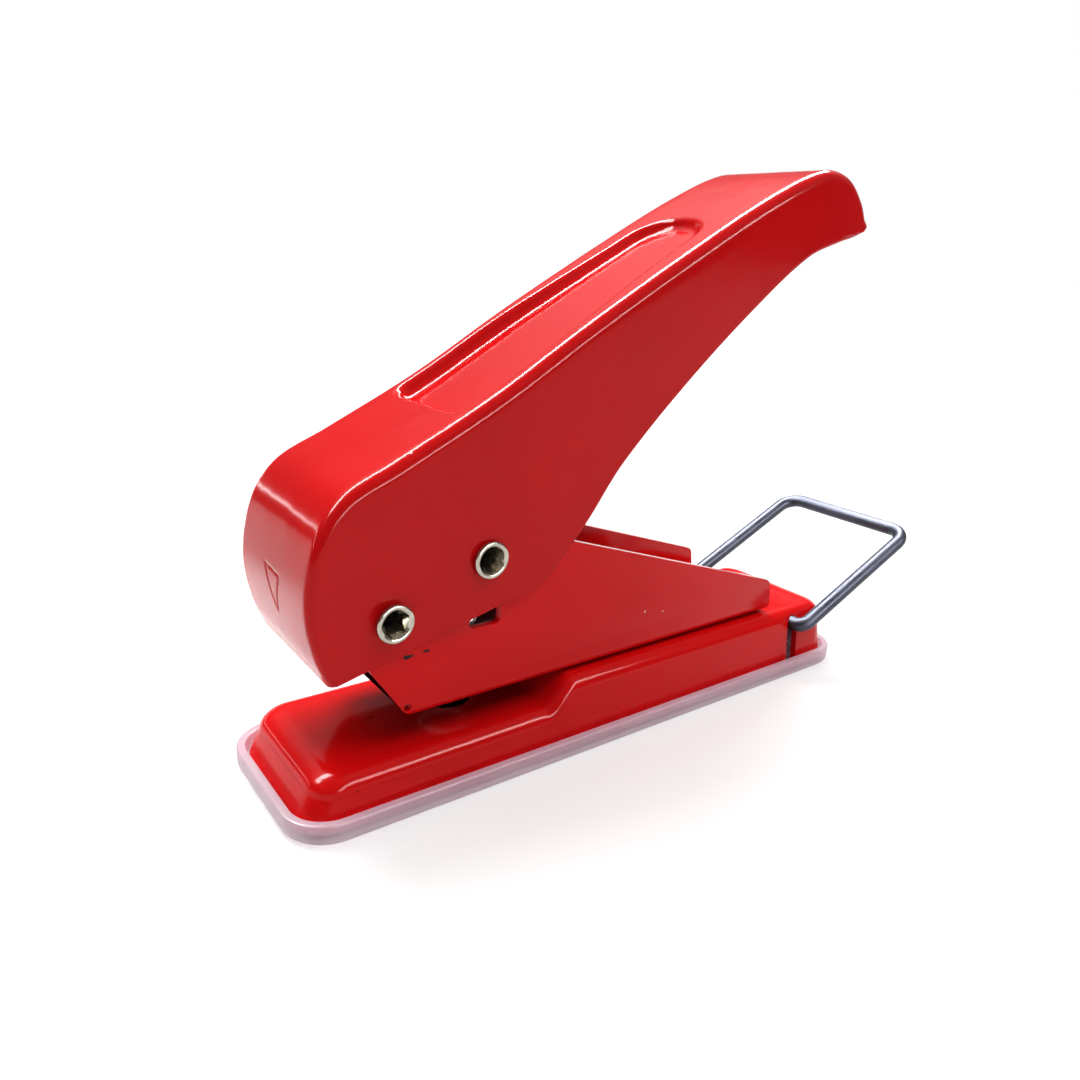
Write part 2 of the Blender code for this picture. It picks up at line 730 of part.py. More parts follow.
def make_punch_head(material):
    """Round head over the rod's top with a level slot for the drive pin."""
    place = Vector((punch_x, 0, 0))
    foot = pin_rest.z - head_below_pin
    top = pin_rest.z + head_above_pin
    bore = punch_radius + fit_gap
    bore_top = pin_rest.z - rivet_radius - head_slot_gap - head_web
    profile = [(0, bore_top), (bore, bore_top), (bore, foot), (head_radius, foot),
               (head_radius, top - punch_chamfer), (head_radius - punch_chamfer, top), (0, top)]
    head = add_object("punch_head", turned("punch_head", profile, upright(place), round_steps),
                      material, Vector((punch_x, 0, foot)))
    half_height = rivet_radius + head_slot_gap
    half_width = rivet_radius + pin_drift / 2 + running_gap
    side = half_width - half_height
    slot = arc((punch_x + side, pin_rest.z), half_height, -math.pi / 2, math.pi / 2,
               2 * corner_steps)
    slot += arc((punch_x - side, pin_rest.z), half_height, math.pi / 2, 3 * math.pi / 2,
                2 * corner_steps)
    cutter("cut_head_slot", extruded("cut_head_slot", slot, 4 * head_radius,
                                     lambda u, v, d: Vector((u, d, v))), head)
    cut_head_pin_hole("cut_head_pin", head)
    return head


def make_head_pin(material):
    """Small cross pin through the head and the rod."""
    middle = Vector((punch_x, 0, head_pin_height()))
    half = math.sqrt(head_radius ** 2 - head_pin_radius ** 2) - running_gap
    body = round_bar("head_pin", lambda u, v, along: middle + Vector((along, u, v)),
                     head_pin_radius, -half, half, small_round_steps // 2)
    return add_object("head_pin", body, material, middle)


def make_punch_guide(material):
    """Flanged eyelet in the bracket's floor."""
    bore = punch_radius + running_gap
    sleeve = bore + guide_wall
    seat = bracket_floor + fit_gap
    top = seat + guide_flange
    profile = [(bore, bracket_foot), (sleeve, bracket_foot), (sleeve, seat),
               (guide_flange_radius, seat), (guide_flange_radius, top), (bore, top)]
    body = turned("punch_guide", profile, upright(Vector((punch_x, 0, 0))), round_steps,
                  tube=True)
    add_object("punch_guide", body, material)


def make_spring_washer(material):
    """Flat washer between the guide's flange and the spring."""
    low = bracket_floor + 2 * fit_gap + guide_flange
    high = low + washer_thickness
    bore = punch_radius + fit_gap
    profile = [(bore, low), (washer_radius, low), (washer_radius, high), (bore, high)]
    body = turned("spring_washer", profile, upright(Vector((punch_x, 0, 0))), round_steps,
                  tube=True)
    add_object("spring_washer", body, material)


def make_return_spring(material):
    """Coil spring round the punch, one unbroken wire with closer turns at both ends."""
    mean_radius = punch_radius + fit_gap + spring_wire
    low = bracket_floor + 3 * fit_gap + guide_flange + washer_thickness + spring_wire / 2
    high = pin_rest.z - head_below_pin - fit_gap - spring_wire / 2
    end_rise = spring_end_turns * (spring_wire + spring_end_gap)
    count = round(spring_turns * spring_points_per_turn)
    points = []
    for i in range(count + 1):
        turn = spring_turns * i / count
        if turn < spring_end_turns:
            z = low + end_rise * turn / spring_end_turns
        elif turn > spring_turns - spring_end_turns:
            z = high - end_rise * (spring_turns - turn) / spring_end_turns
        else:
            middle = spring_turns - 2 * spring_end_turns
            z = low + end_rise + (high - low - 2 * end_rise) * (turn - spring_end_turns) / middle
        angle = math.tau * turn
        points.append(Vector((mean_radius * math.cos(angle), mean_radius * math.sin(angle), z)))
    half_turn = spring_points_per_turn // 2
    gap = min((a - b).length for i, a in enumerate(points) for b in points[i + half_turn:])
    print(f"return spring: least gap to itself {(gap - spring_wire) / MM:.2f} mm")
    add_wire("return_spring", points, spring_wire / 2, 1, material, Vector((punch_x, 0, 0)))


def add_wire(name, points, radius, resolution, material, origin):
    """Round wire along points that are given from the origin."""
    curve = bpy.data.curves.new(name, "CURVE")
    curve.dimensions = "3D"
    curve.bevel_depth = radius
    curve.bevel_resolution = resolution
    curve.use_fill_caps = True
    spline = curve.splines.new("POLY")
    spline.points.add(len(points) - 1)
    for point, place in zip(spline.points, points):
        point.co = (*place, 1.0)
    curve.materials.append(material)
    made = bpy.data.objects.new(name, curve)
    made.location = origin
    bpy.context.scene.collection.objects.link(made)


def make_bail(material):
    """Wire bent into a square loop, with both ends turned in through the base's walls."""
    half = bail_width / 2
    along = Vector((math.cos(bail_rise), 0, math.sin(bail_rise)))
    side = Vector((0, half, 0))
    end = Vector((0, half - bail_end_length, 0))
    corners = [(side, bail_turn_radius), (side + along * bail_reach, bail_corner_radius),
               (along * bail_reach - side, bail_corner_radius), (-side, bail_turn_radius)]
    path = [end]
    places = [end] + [corner for corner, _ in corners] + [-end]
    for i, (corner, radius) in enumerate(corners):
        path += round_corner(places[i], corner, places[i + 2], radius, corner_steps)
    path += [-end]
    add_wire("bail_wire", path, bail_wire_radius, 3, material, bail_pivot)


def clear_scene():
    """Start from an empty scene."""
    for item in list(bpy.data.objects):
        bpy.data.objects.remove(item)


def build_punch():
    """Make every piece of the hole punch."""
    clear_scene()
    enamel = (0.56, 0.012, 0.014)
    nickel = (0.72, 0.69, 0.62)
    steel = (0.55, 0.55, 0.56)

    make_chip_tray(paint("tray_plastic", (0.86, 0.78, 0.84), 0.35, alpha=0.6))
    make_base_shell(paint("base_enamel", enamel, 0.22))
    make_die_plate(paint("die_steel", steel, 0.35, 1.0))
    make_bracket(paint("bracket_enamel", enamel, 0.3))
    rivet_steel = paint("base_rivet_steel", steel, 0.35, 1.0)
    for name, place in zip(("frame_rivet_front", "frame_rivet_rear"), base_rivet_places):
        make_base_rivet(name, place, rivet_steel)

    lever = make_lever(paint("lever_enamel", enamel, 0.22))
    make_tubular_rivet("pivot_rivet", pivot, pivot_head_height,
                       paint("pivot_nickel", nickel, 0.25, 1.0))
    drive_pin = make_tubular_rivet("drive_pin", pin_rest, pin_head_height,
                                   paint("drive_pin_nickel", nickel, 0.25, 1.0))
    sleeve_steel = paint("sleeve_steel", steel, 0.4, 1.0)
    reach = bracket_inside - fit_gap
    beside_head = head_radius + fit_gap
    make_sleeve("pivot_spacer", pivot, -reach, reach, sleeve_steel)
    near = make_sleeve("pin_spacer_near", pin_rest, -reach, -beside_head, sleeve_steel)
    far = make_sleeve("pin_spacer_far", pin_rest, beside_head, reach, sleeve_steel)
    hold_on(lever, drive_pin, near, far)

    rod = make_punch_rod(paint("punch_steel", steel, 0.2, 1.0))
    head = make_punch_head(paint("head_steel", steel, 0.35, 1.0))
    head_pin = make_head_pin(paint("head_pin_steel", steel, 0.3, 1.0))
    hold_on(rod, head, head_pin)
    make_punch_guide(paint("guide_steel", steel, 0.3, 1.0))
    make_spring_washer(paint("washer_steel", steel, 0.35, 1.0))
    make_return_spring(paint("spring_steel", (0.5, 0.5, 0.52), 0.3, 1.0))
    make_bail(paint("bail_steel", (0.03, 0.035, 0.05), 0.35, 1.0))


build_punch()
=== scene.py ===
import math

import bmesh
import bpy
import numpy as np
from mathutils import Matrix, Vector


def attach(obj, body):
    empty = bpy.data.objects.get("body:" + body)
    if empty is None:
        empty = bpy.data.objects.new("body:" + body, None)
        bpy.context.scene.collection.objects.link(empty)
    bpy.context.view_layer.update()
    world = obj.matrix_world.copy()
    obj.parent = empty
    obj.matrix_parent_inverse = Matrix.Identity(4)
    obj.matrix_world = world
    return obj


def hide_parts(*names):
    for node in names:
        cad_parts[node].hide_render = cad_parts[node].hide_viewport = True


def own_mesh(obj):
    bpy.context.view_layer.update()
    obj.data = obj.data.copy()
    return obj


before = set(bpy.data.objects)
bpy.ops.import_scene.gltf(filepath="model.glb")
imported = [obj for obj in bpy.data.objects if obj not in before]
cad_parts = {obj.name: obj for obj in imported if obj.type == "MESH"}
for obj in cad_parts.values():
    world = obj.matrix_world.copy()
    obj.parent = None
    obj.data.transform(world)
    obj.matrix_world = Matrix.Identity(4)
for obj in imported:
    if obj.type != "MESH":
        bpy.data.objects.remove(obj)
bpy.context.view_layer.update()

# The view: a short lens close to the punch, in front of its nose and its near side and looking a
# little down, as the photograph was taken.
MM = 0.001
focal_pixels = 859.5
frame_pixels = 1080.0
camera_place = Vector((-81.149, -95.5, 69.015)) * MM
camera_yaw, camera_pitch, camera_roll = (math.radians(a) for a in (37.154, -18.631, 2.995))

ahead = Vector((math.sin(camera_yaw) * math.cos(camera_pitch),
                math.cos(camera_yaw) * math.cos(camera_pitch), math.sin(camera_pitch)))
level = Vector((math.cos(camera_yaw), -math.sin(camera_yaw), 0))
upward = level.cross(ahead)
right = math.cos(camera_roll) * level + math.sin(camera_roll) * upward
top = math.cos(camera_roll) * upward - math.sin(camera_roll) * level
lens = bpy.data.cameras.new("photo_view")
lens.sensor_width = 36.0
lens.lens = focal_pixels / frame_pixels * lens.sensor_width
lens.clip_start = 0.005
camera = bpy.data.objects.new("photo_view", lens)
camera.matrix_world = Matrix((
    (right.x, top.x, -ahead.x, camera_place.x), (right.y, top.y, -ahead.y, camera_place.y),
    (right.z, top.z, -ahead.z, camera_place.z), (0, 0, 0, 1)))
bpy.context.scene.collection.objects.link(camera)
bpy.context.scene.camera = camera

# Chip tray: one moulding in frosted, nearly clear plastic, with a rounded foot, a rim round the
# pressed base and a low rib that snaps inside the base's wall. It pulls off downwards.
tray_length, tray_width, tray_height = 104.0, 27.6, 2.9
tray_floor, tray_rim, tray_corner = 1.1, 1.25, 6.2


def node(tree, kind, inputs=None, **settings):
    """One shader node with its settings, and each input set to a value or linked to a socket."""
    made = tree.nodes.new(kind)
    for name, value in settings.items():
        setattr(made, name, value)
    for name, value in (inputs or {}).items():
        if isinstance(value, bpy.types.NodeSocket):
            tree.links.new(value, made.inputs[name])
        else:
            made.inputs[name].default_value = value
    return made


def ranged(tree, value, low, high, to_low=0.0, to_high=1.0, smooth=False):
    """A value from low to high laid over the range to_low to to_high, evenly or with soft ends."""
    return node(tree, "ShaderNodeMapRange",
                {"Value": value, "From Min": low, "From Max": high, "To Min": to_low,
                 "To Max": to_high},
                interpolation_type="SMOOTHSTEP" if smooth else "LINEAR").outputs["Result"]


def mixed(tree, share, first, second):
    """The colour that lies at a share of the way between two colours."""
    return node(tree, "ShaderNodeMix", {"Factor": share, 6: first, 7: second},
                data_type="RGBA").outputs[2]


def noise(tree, where, scale, detail=2.0, roughness=0.5):
    """Soft cloudy noise from 0 to 1."""
    return node(tree, "ShaderNodeTexNoise", {"Vector": where, "Scale": scale, "Detail": detail,
                                            "Roughness": roughness}).outputs["Fac"]


def bumped(tree, height, strength, distance, under=None):
    """The normal of a height field, on top of another normal where one is given."""
    made = node(tree, "ShaderNodeBump", {"Height": height, "Strength": strength,
                                        "Distance": distance})
    if under is not None:
        tree.links.new(under, made.inputs["Normal"])
    return made.outputs["Normal"]


def own_place(tree):
    """A point's place on the piece itself."""
    return node(tree, "ShaderNodeTexCoord").outputs["Object"]


def put_out(tree, target, outputs):
    """Link named outputs to a shader's or a group's inputs of the same names."""
    for name, socket in outputs.items():
        tree.links.new(socket, target.inputs[name])


def new_material(name):
    """A material with its Principled shader; returns the material, its tree and the shader."""
    material = bpy.data.materials.new(name)
    material.use_nodes = True
    return material, material.node_tree, material.node_tree.nodes["Principled BSDF"]


def piece_from(name, places, faces, crease=40):
    """A closed piece from places in mm and four-cornered faces, at the origin.

    Doubled places at seams and poles are merged, and the faces are turned outwards.
    """
    data = bpy.data.meshes.new(name)
    data.vertices.add(len(places))
    data.vertices.foreach_set("co", (places * MM).astype(np.float32).ravel())
    data.loops.add(faces.size)
    data.loops.foreach_set("vertex_index", faces.astype(np.int32).ravel())
    data.polygons.add(len(faces))
    data.polygons.foreach_set("loop_start", np.arange(0, faces.size, 4, dtype=np.int32))
    data.update(calc_edges=True)
    bm = bmesh.new()
    bm.from_mesh(data)
    bmesh.ops.remove_doubles(bm, verts=bm.verts, dist=1e-6)
    bmesh.ops.recalc_face_normals(bm, faces=bm.faces)
    bm.to_mesh(data)
    bm.free()
    data.shade_smooth()
    data.set_sharp_from_angle(angle=math.radians(crease))
    piece = bpy.data.objects.new(name, data)
    bpy.context.scene.collection.objects.link(piece)
    return piece


def finish(piece, material, body, slot, *nodes):
    """Give a finished piece its material and its body, and hide the nodes it stands for. slot is
    not used.
    """
    piece.data.materials.clear()
    piece.data.materials.append(material)
    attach(piece, body)
    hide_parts(*nodes)


def grid_faces(rows, columns, wrap_rows=False, wrap_columns=False):
    """Faces of a grid, each from a place over the next column to the next row and back."""
    index = np.arange(rows * columns).reshape(rows, columns)
    if wrap_rows:
        index = np.vstack([index, index[:1]])
    if wrap_columns:
        index = np.hstack([index, index[:, :1]])
    return np.stack([index[:-1, :-1], index[:-1, 1:], index[1:, 1:], index[1:, :-1]],
                    -1).reshape(-1, 4)


def rounded(corners, radii, steps=6, closed=False):
    """A path of corners, each bridged by an arc of its radius.

    The corner is cut back on both sides by radius / tan(half the corner's angle).
    """
    corners = np.asarray(corners, float)
    path = []
    for i, radius in enumerate(radii):
        if radius == 0 or (not closed and i in (0, len(corners) - 1)):
            path.append(corners[i][None])
            continue
        a = corners[i - 1] - corners[i]
        b = corners[(i + 1) % len(corners)] - corners[i]
        length_a, length_b = np.linalg.norm(a), np.linalg.norm(b)
        a, b = a / length_a, b / length_b
        half = math.acos(np.clip(a @ b, -1, 1)) / 2
        cut = min(radius / math.tan(half), 0.49 * length_a, 0.49 * length_b)
        reach = cut * math.tan(half)
        start = corners[i] + a * cut
        middle = corners[i] + (a + b) / np.linalg.norm(a + b) * reach / math.sin(half)
        angle = np.linspace(0, math.pi - 2 * half, steps + 1)[:, None]
        path.append(middle + (start - middle) * np.cos(angle) - a * reach * np.sin(angle))
    return np.vstack(path)


def plan_frame(corner_points, long_points, short_points):
    """Round a rectangle with round corners: for each place the share of the straight part it lies
    at, (-1 to 1) along X and Y, and the direction of the corner's radius there."""
    share_x, share_y, out_x, out_y = [], [], [], []
    for quarter, (sign_x, sign_y) in enumerate(((1, -1), (1, 1), (-1, 1), (-1, -1))):
        angle = math.pi / 2 * (quarter - 1) + np.linspace(0, math.pi / 2, corner_points)
        count = short_points if quarter in (0, 2) else long_points
        run = np.linspace(1, -1, count + 2)[1:-1]
        side_x = np.full(count, sign_x) if quarter in (0, 2) else run * sign_x
        side_y = run * sign_y if quarter in (0, 2) else np.full(count, sign_y)
        share_x += [np.full(corner_points, sign_x), side_x]
        share_y += [np.full(corner_points, sign_y), side_y]
        out_x += [np.cos(angle), np.full(count, math.cos(angle[-1]))]
        out_y += [np.sin(angle), np.full(count, math.sin(angle[-1]))]
    return [np.concatenate(part) for part in (share_x, share_y, out_x, out_y)]


def plan_rings(frame_of_plan, half_x, half_y, radius):
    """Rings over a plan: place = share x (half size - radius) + radius x direction."""
    share_x, share_y, out_x, out_y = frame_of_plan
    half_x, half_y, radius = (np.asarray(part, float)[:, None] for part in (half_x, half_y, radius))
    radius = np.minimum(radius, half_y)
    return np.stack([share_x * (half_x - radius) + radius * out_x,
                     share_y * (half_y - radius) + radius * out_y], -1)


def moulded_tray(name):
    """Rings from the underside's middle round the foot, rim and rib to the floor's middle.

    Each row of the profile gives the ring's inset along X, its inset along Y and its height.
    """
    middle = tray_width / 2
    rib_x, rib_y, rib, rib_top = 4.45, 3.55, 1.0, tray_floor + 2.6
    profile = rounded(
        [(middle, middle, 0), (0, 0, 0), (0, 0, tray_height), (tray_rim, tray_rim, tray_height),
         (tray_rim, tray_rim, tray_floor), (rib_x, rib_y, tray_floor), (rib_x, rib_y, rib_top),
         (rib_x + rib, rib_y + rib, rib_top), (rib_x + rib, rib_y + rib, tray_floor),
         (middle, middle, tray_floor)],
        [0, 0.95, 0.35, 0.35, 0.4, 0.3, 0.3, 0.3, 0.3, 0])
    inset_x, inset_y, height = profile.T
    deepest = np.maximum(inset_x, inset_y)
    plan = plan_frame(14, 90, 16)
    rings = plan_rings(plan, tray_length / 2 - inset_x, tray_width / 2 - inset_y,
                       np.clip(tray_corner - deepest, 1.0, None))
    places = np.concatenate([rings, np.broadcast_to(height[:, None, None],
                                                    rings.shape[:2] + (1,))], -1)
    return piece_from(name, places.reshape(-1, 3),
                      grid_faces(*places.shape[:2], wrap_columns=True), crease=55)


chip_tray = moulded_tray("frosted_chip_tray")

# frosted plastic: a lilac-white haze that lets the red base show through, finely grained; the pink
# in its colour is partly painted light, standing in for the red base's light coming through
frosted, tree, shader = new_material("frosted_plastic")
where = own_place(tree)
haze = noise(tree, where, 90.0, 3.0)
put_out(tree, shader, {
    "Base Color": mixed(tree, haze, (0.80, 0.48, 0.58, 1), (0.92, 0.75, 0.82, 1)),
    "Roughness": ranged(tree, haze, 0.0, 1.0, 0.26, 0.40),
    "Normal": bumped(tree, noise(tree, where, 2600.0), 0.25, 0.00004)})
shader.inputs["Transmission Weight"].default_value = 0.5
shader.inputs["IOR"].default_value = 1.46
finish(chip_tray, frosted, "tray", "frosted_plastic", "chip_tray")

# Pressed base: 1 mm steel sheet drawn into a lid with leaning walls and soft edges, enamelled red.
# Its top is a low bed for the paper in front and a higher deck that carries the bracket behind.
sheet_mm = 1.0
base_foot, bed_top, step_rise, step_start, step_run = 1.4, 7.4, 4.0, -14.5, 5.0
base_half_x, base_half_y, base_corner = 50.45, 12.25, 4.65
punch_x, pivot_x, pivot_z = -24.536, -38.6, 26.6
bail_x, bail_z, wire_radius = 39.2, 9.0, 1.22


def row_lengths(places):
    """Length from the first row to each row, along each column."""
    steps = np.linalg.norm(np.diff(places, axis=0), axis=-1)
    return np.vstack([np.zeros(places.shape[1]), np.cumsum(steps, axis=0)])


def sheet_from(name, outside, thickness, edge_round, open_end=True, wrap_columns=False):
    """Pressed sheet behind a grid of places on its outside.

    The inside lies one thickness back along the grid's normals, the cross product of its two
    central differences; where a ring closes to a point, the ring before it gives the normal.
    Near an open edge the half thickness is times sqrt(1 - (1 - d / r)^2),
    with d the way to the edge and r edge_round, so both sides meet in a rounded edge.
    """
    if wrap_columns:
        along = (np.roll(outside, -1, 1) - np.roll(outside, 1, 1)) / 2
    else:
        along = np.gradient(outside, axis=1)
    normal = np.cross(along, np.gradient(outside, axis=0))
    length = np.linalg.norm(normal, axis=-1, keepdims=True)
    normal /= np.maximum(length, 1e-12)
    normal = np.where(length > 1e-9, normal, np.roll(normal, 1, axis=0))
    down = row_lengths(outside)
    far = np.minimum(down, down[-1] - down) if open_end else down
    if not wrap_columns:
        sideways = row_lengths(outside.transpose(1, 0, 2)).T
        far = np.minimum(far, np.minimum(sideways, sideways[:, -1:] - sideways))
    fullness = np.sqrt(1 - (1 - np.clip(far / edge_round, 0, 1)) ** 2)[..., None]
    front = outside - normal * thickness / 2 * (1 - fullness)
    back = outside - normal * thickness / 2 * (1 + fullness)
    faces = grid_faces(*outside.shape[:2], wrap_columns=wrap_columns)
    places = np.concatenate([front.reshape(-1, 3), back.reshape(-1, 3)])
    return piece_from(name, places,
                      np.vstack([faces, faces[:, ::-1] + outside.shape[0] * outside.shape[1]]))


def smooth_rise(t):
    """0 below 0 and 1 above 1, with 3 t^2 - 2 t^3 between."""
    t = np.clip(t, 0, 1)
    return t * t * (3 - 2 * t)


def base_top_height(x):
    """Height of the base's flat top: the bed, then one smooth step up to the deck."""
    return bed_top + step_rise * smooth_rise((x - step_start) / step_run)


def pressed_base():
    """Rings from the foot up the leaning wall, over the rounded edge and in to the middle line."""
    wall = np.concatenate([[0, 0.03, 0.08, 0.16, 0.3], np.linspace(0.5, 1, 9)])
    turn = np.linspace(0, math.pi / 2, 13)[1:]
    flat = np.linspace(0, 1, 20)[1:]
    lean_x, lean_y, round_x, round_y, round_z = 1.6, 0.7, 3.6, 2.4, 2.6
    inset_x = np.concatenate([lean_x * wall, lean_x + round_x * (1 - np.cos(turn))])
    inset_y = np.concatenate([lean_y * wall, lean_y + round_y * (1 - np.cos(turn))])
    drop = np.concatenate([np.full(len(wall), round_z), round_z * (1 - np.sin(turn)),
                           np.zeros(len(flat))])
    lift = np.concatenate([wall, np.ones(len(turn) + len(flat))])
    half_x = np.concatenate([base_half_x - inset_x,
                             base_half_x - inset_x[-1] - flat * (base_half_y - inset_y[-1])])
    half_y = np.concatenate([base_half_y - inset_y, (base_half_y - inset_y[-1]) * (1 - flat)])
    radius = np.clip(base_corner - np.concatenate([inset_y, inset_y[-1] + flat * 0]), 1.0, None)
    rings = plan_rings(plan_frame(18, 230, 20), half_x, half_y, radius)
    x, y = rings[..., 0], rings[..., 1]
    full = base_top_height(x) - drop[:, None]
    z = base_foot + (full - base_foot) * lift[:, None]
    return sheet_from("pressed_base", np.stack([x, y, z], -1), sheet_mm, 0.3, open_end=False,
                      wrap_columns=True)


def ring_of(radius, points):
    """Places (u, v) round a circle."""
    angle = np.linspace(0, 2 * math.pi, points, endpoint=False)
    return np.stack([radius * np.cos(angle), radius * np.sin(angle)], -1)


AXES = {"X": (2, 0, 1), "Y": (0, 2, 1), "Z": (0, 1, 2)}


def prism(name, outline, low, high, axis):
    """A block over an outline of (u, v) places from low to high along an axis, with flat ends."""
    count = len(outline)
    rings = np.stack([np.column_stack([outline, np.full(count, h)]) for h in (low, high)])
    places = rings.reshape(-1, 3)[:, AXES[axis]] * MM
    index = np.arange(count)
    after = (index + 1) % count
    sides = np.stack([index, after, after + count, index + count], -1)
    data = bpy.data.meshes.new(name)
    data.from_pydata(places.tolist(), [],
                     sides.tolist() + [index[::-1].tolist(), (index + count).tolist()])
    bm = bmesh.new()
    bm.from_mesh(data)
    bmesh.ops.recalc_face_normals(bm, faces=bm.faces)
    bm.to_mesh(data)
    bm.free()
    block = bpy.data.objects.new(name, data)
    bpy.context.scene.collection.objects.link(block)
    return block


def settle(piece, crease=40):
    """Make a piece's modifiers part of its mesh, and shade it smooth between its creases."""
    bpy.context.view_layer.update()
    shape = piece.evaluated_get(bpy.context.evaluated_depsgraph_get())
    data = bpy.data.meshes.new_from_object(shape)
    piece.modifiers.clear()
    piece.data = data
    data.shade_smooth()
    data.set_sharp_from_angle(angle=math.radians(crease))


def cut(piece, tools, operation="DIFFERENCE"):
    """Cut a piece with guide blocks, which are then removed."""
    for tool in tools:
        step = piece.modifiers.new(tool.name, "BOOLEAN")
        step.operation = operation
        step.solver = "EXACT"
        step.object = tool
    settle(piece)
    for tool in tools:
        bpy.data.objects.remove(tool)


def reckoned(tree, operation, first, second=0.0, clamped=False):
    """Two values put together by a Math node."""
    return node(tree, "ShaderNodeMath", {0: first, 1: second}, operation=operation,
                use_clamp=clamped).outputs[0]


def scaled(tree, colour, share):
    """A colour times a value."""
    return node(tree, "ShaderNodeVectorMath", {0: colour, "Scale": share},
                operation="SCALE").outputs["Vector"]


def new_finish(name, values):
    """An empty node group with named values in and a colour, a roughness and a normal out."""
    tree = bpy.data.node_groups.new(name, "ShaderNodeTree")
    for label, value in values.items():
        kind = "NodeSocketFloat" if isinstance(value, float) else "NodeSocketColor"
        tree.interface.new_socket(label, in_out="INPUT", socket_type=kind).default_value = value
    for label, kind in (("Colour", "Color"), ("Roughness", "Float"), ("Normal", "Vector")):
        tree.interface.new_socket(label, in_out="OUTPUT", socket_type="NodeSocket" + kind)
    return tree, tree.nodes.new("NodeGroupInput").outputs, tree.nodes.new("NodeGroupOutput")


def finished(name, group, values):
    """A material whose Principled shader takes a finish's colour, roughness and normal."""
    material, tree, shader = new_material(name)
    layer = node(tree, "ShaderNodeGroup", node_tree=group)
    for label, value in values.items():
        layer.inputs[label].default_value = value
    put_out(tree, shader, {"Base Color": layer.outputs["Colour"],
                           "Roughness": layer.outputs["Roughness"],
                           "Normal": layer.outputs["Normal"]})
    return material, shader


base = pressed_base()
slit_half = wire_radius + 0.1
slit = np.vstack([[(bail_x - slit_half, -2)], [(bail_x + slit_half, -2)],
                  ring_of(slit_half, 48)[:25] + (bail_x, bail_z)])
cut(base, [prism("bail_slits", slit, -20, 20, "Y"),
           prism("bed_hole", ring_of(3.6, 48) + (punch_x, 0), 2, 20, "Z")])

# red enamel: gloss lacquer with a faint ripple that breaks up long highlights, dust nibs under it
skin, given, group_out = new_finish(
    "enamel_skin", {"Colour": (0.6, 0.01, 0.012, 1), "Ripple": 1.0})
where = own_place(skin)
ripple = reckoned(skin, "MULTIPLY", noise(skin, where, 190.0, 1.5, 0.45), given["Ripple"])
cells = node(skin, "ShaderNodeTexVoronoi", {"Vector": where, "Scale": 230.0})
chosen = node(skin, "ShaderNodeSeparateColor", {"Color": cells.outputs["Color"]})
nib = reckoned(skin, "MULTIPLY", ranged(skin, cells.outputs["Distance"], 0.030, 0.055, 1.0, 0.0),
               reckoned(skin, "GREATER_THAN", chosen.outputs["Red"], 0.82))
speck = mixed(skin, reckoned(skin, "GREATER_THAN", chosen.outputs["Green"], 0.5),
              (0.12, 0.002, 0.002, 1), (0.95, 0.55, 0.5, 1))
shade = noise(skin, where, 45.0)
toned = scaled(skin, given["Colour"], ranged(skin, shade, 0.3, 0.7, 0.93, 1.05))
wave = bumped(skin, ripple, 0.4, 0.00012)
peel = bumped(skin, noise(skin, where, 1500.0, 1.0), 0.06, 0.00004, wave)
put_out(skin, group_out, {"Colour": mixed(skin, nib, toned, speck),
                          "Roughness": ranged(skin, shade, 0.0, 1.0, 0.10, 0.15),
                          "Normal": bumped(skin, nib, 0.3, 0.00006, peel)})


def enamel(name, colour, ripple_share):
    """Red enamel with its own tone and amount of ripple. The tones differ from piece to piece as
    painted light and shade.
    """
    material, shader = finished(name, skin, {"Colour": (*colour, 1), "Ripple": ripple_share})
    shader.inputs["Specular IOR Level"].default_value = 0.12
    return material


# painted light: the base's enamel is a lighter red than the lever's
finish(base, enamel("base_enamel", (0.79, 0.004, 0.005), 1.0), "chassis", "red_enamel",
       "base_shell")

# Die plate and base rivets: a small ground steel plate with the die hole is fixed under the paper
# bed, and two solid steel rivets clench the bracket's floor to the deck.
wear, given, group_out = new_finish("steel_wear", {
    "Colour": (0.6, 0.6, 0.6, 1), "Shine": 0.3, "Scale": 400.0, "Marks": 0.3})
where = own_place(wear)
cloud = noise(wear, where, given["Scale"], 4.0, 0.6)
stretched = node(wear, "ShaderNodeMapping", {"Vector": where, "Scale": (1.0, 1.0, 9.0)})
lines = noise(wear, stretched.outputs["Vector"], 900.0)
put_out(wear, group_out, {
    "Colour": scaled(wear, given["Colour"], ranged(wear, cloud, 0.3, 0.7, 0.78, 1.08)),
    "Roughness": reckoned(wear, "ADD", ranged(wear, cloud, 0.3, 0.7, -0.06, 0.1),
                          given["Shine"], clamped=True),
    "Normal": bumped(wear, lines, given["Marks"], 0.00003)})


def metal(name, colour, shine, scale=400.0, marks=0.3):
    """Bare or plated metal with cloudy wear and fine drawing marks."""
    material, shader = finished(name, wear, {"Colour": (*colour, 1), "Shine": shine,
                                             "Scale": scale, "Marks": marks})
    shader.inputs["Metallic"].default_value = 1.0
    return material


def turned(name, profile, centre, axis="Z", points=64, closed=False):
    """A turned piece: (radius, height) places of a profile swept round an axis through centre.

    Each place becomes (radius cos a, radius sin a, height), laid along the axis.
    """
    profile = np.asarray(profile, float)
    angle = np.linspace(0, 2 * math.pi, points, endpoint=False)
    radius, height = profile[:, :1], profile[:, 1:]
    rings = np.stack([radius * np.cos(angle), radius * np.sin(angle),
                      height + 0 * angle], -1)[..., AXES[axis]]
    faces = grid_faces(len(profile), points, wrap_rows=closed, wrap_columns=True)
    return piece_from(name, rings.reshape(-1, 3) + np.asarray(centre, float), faces)


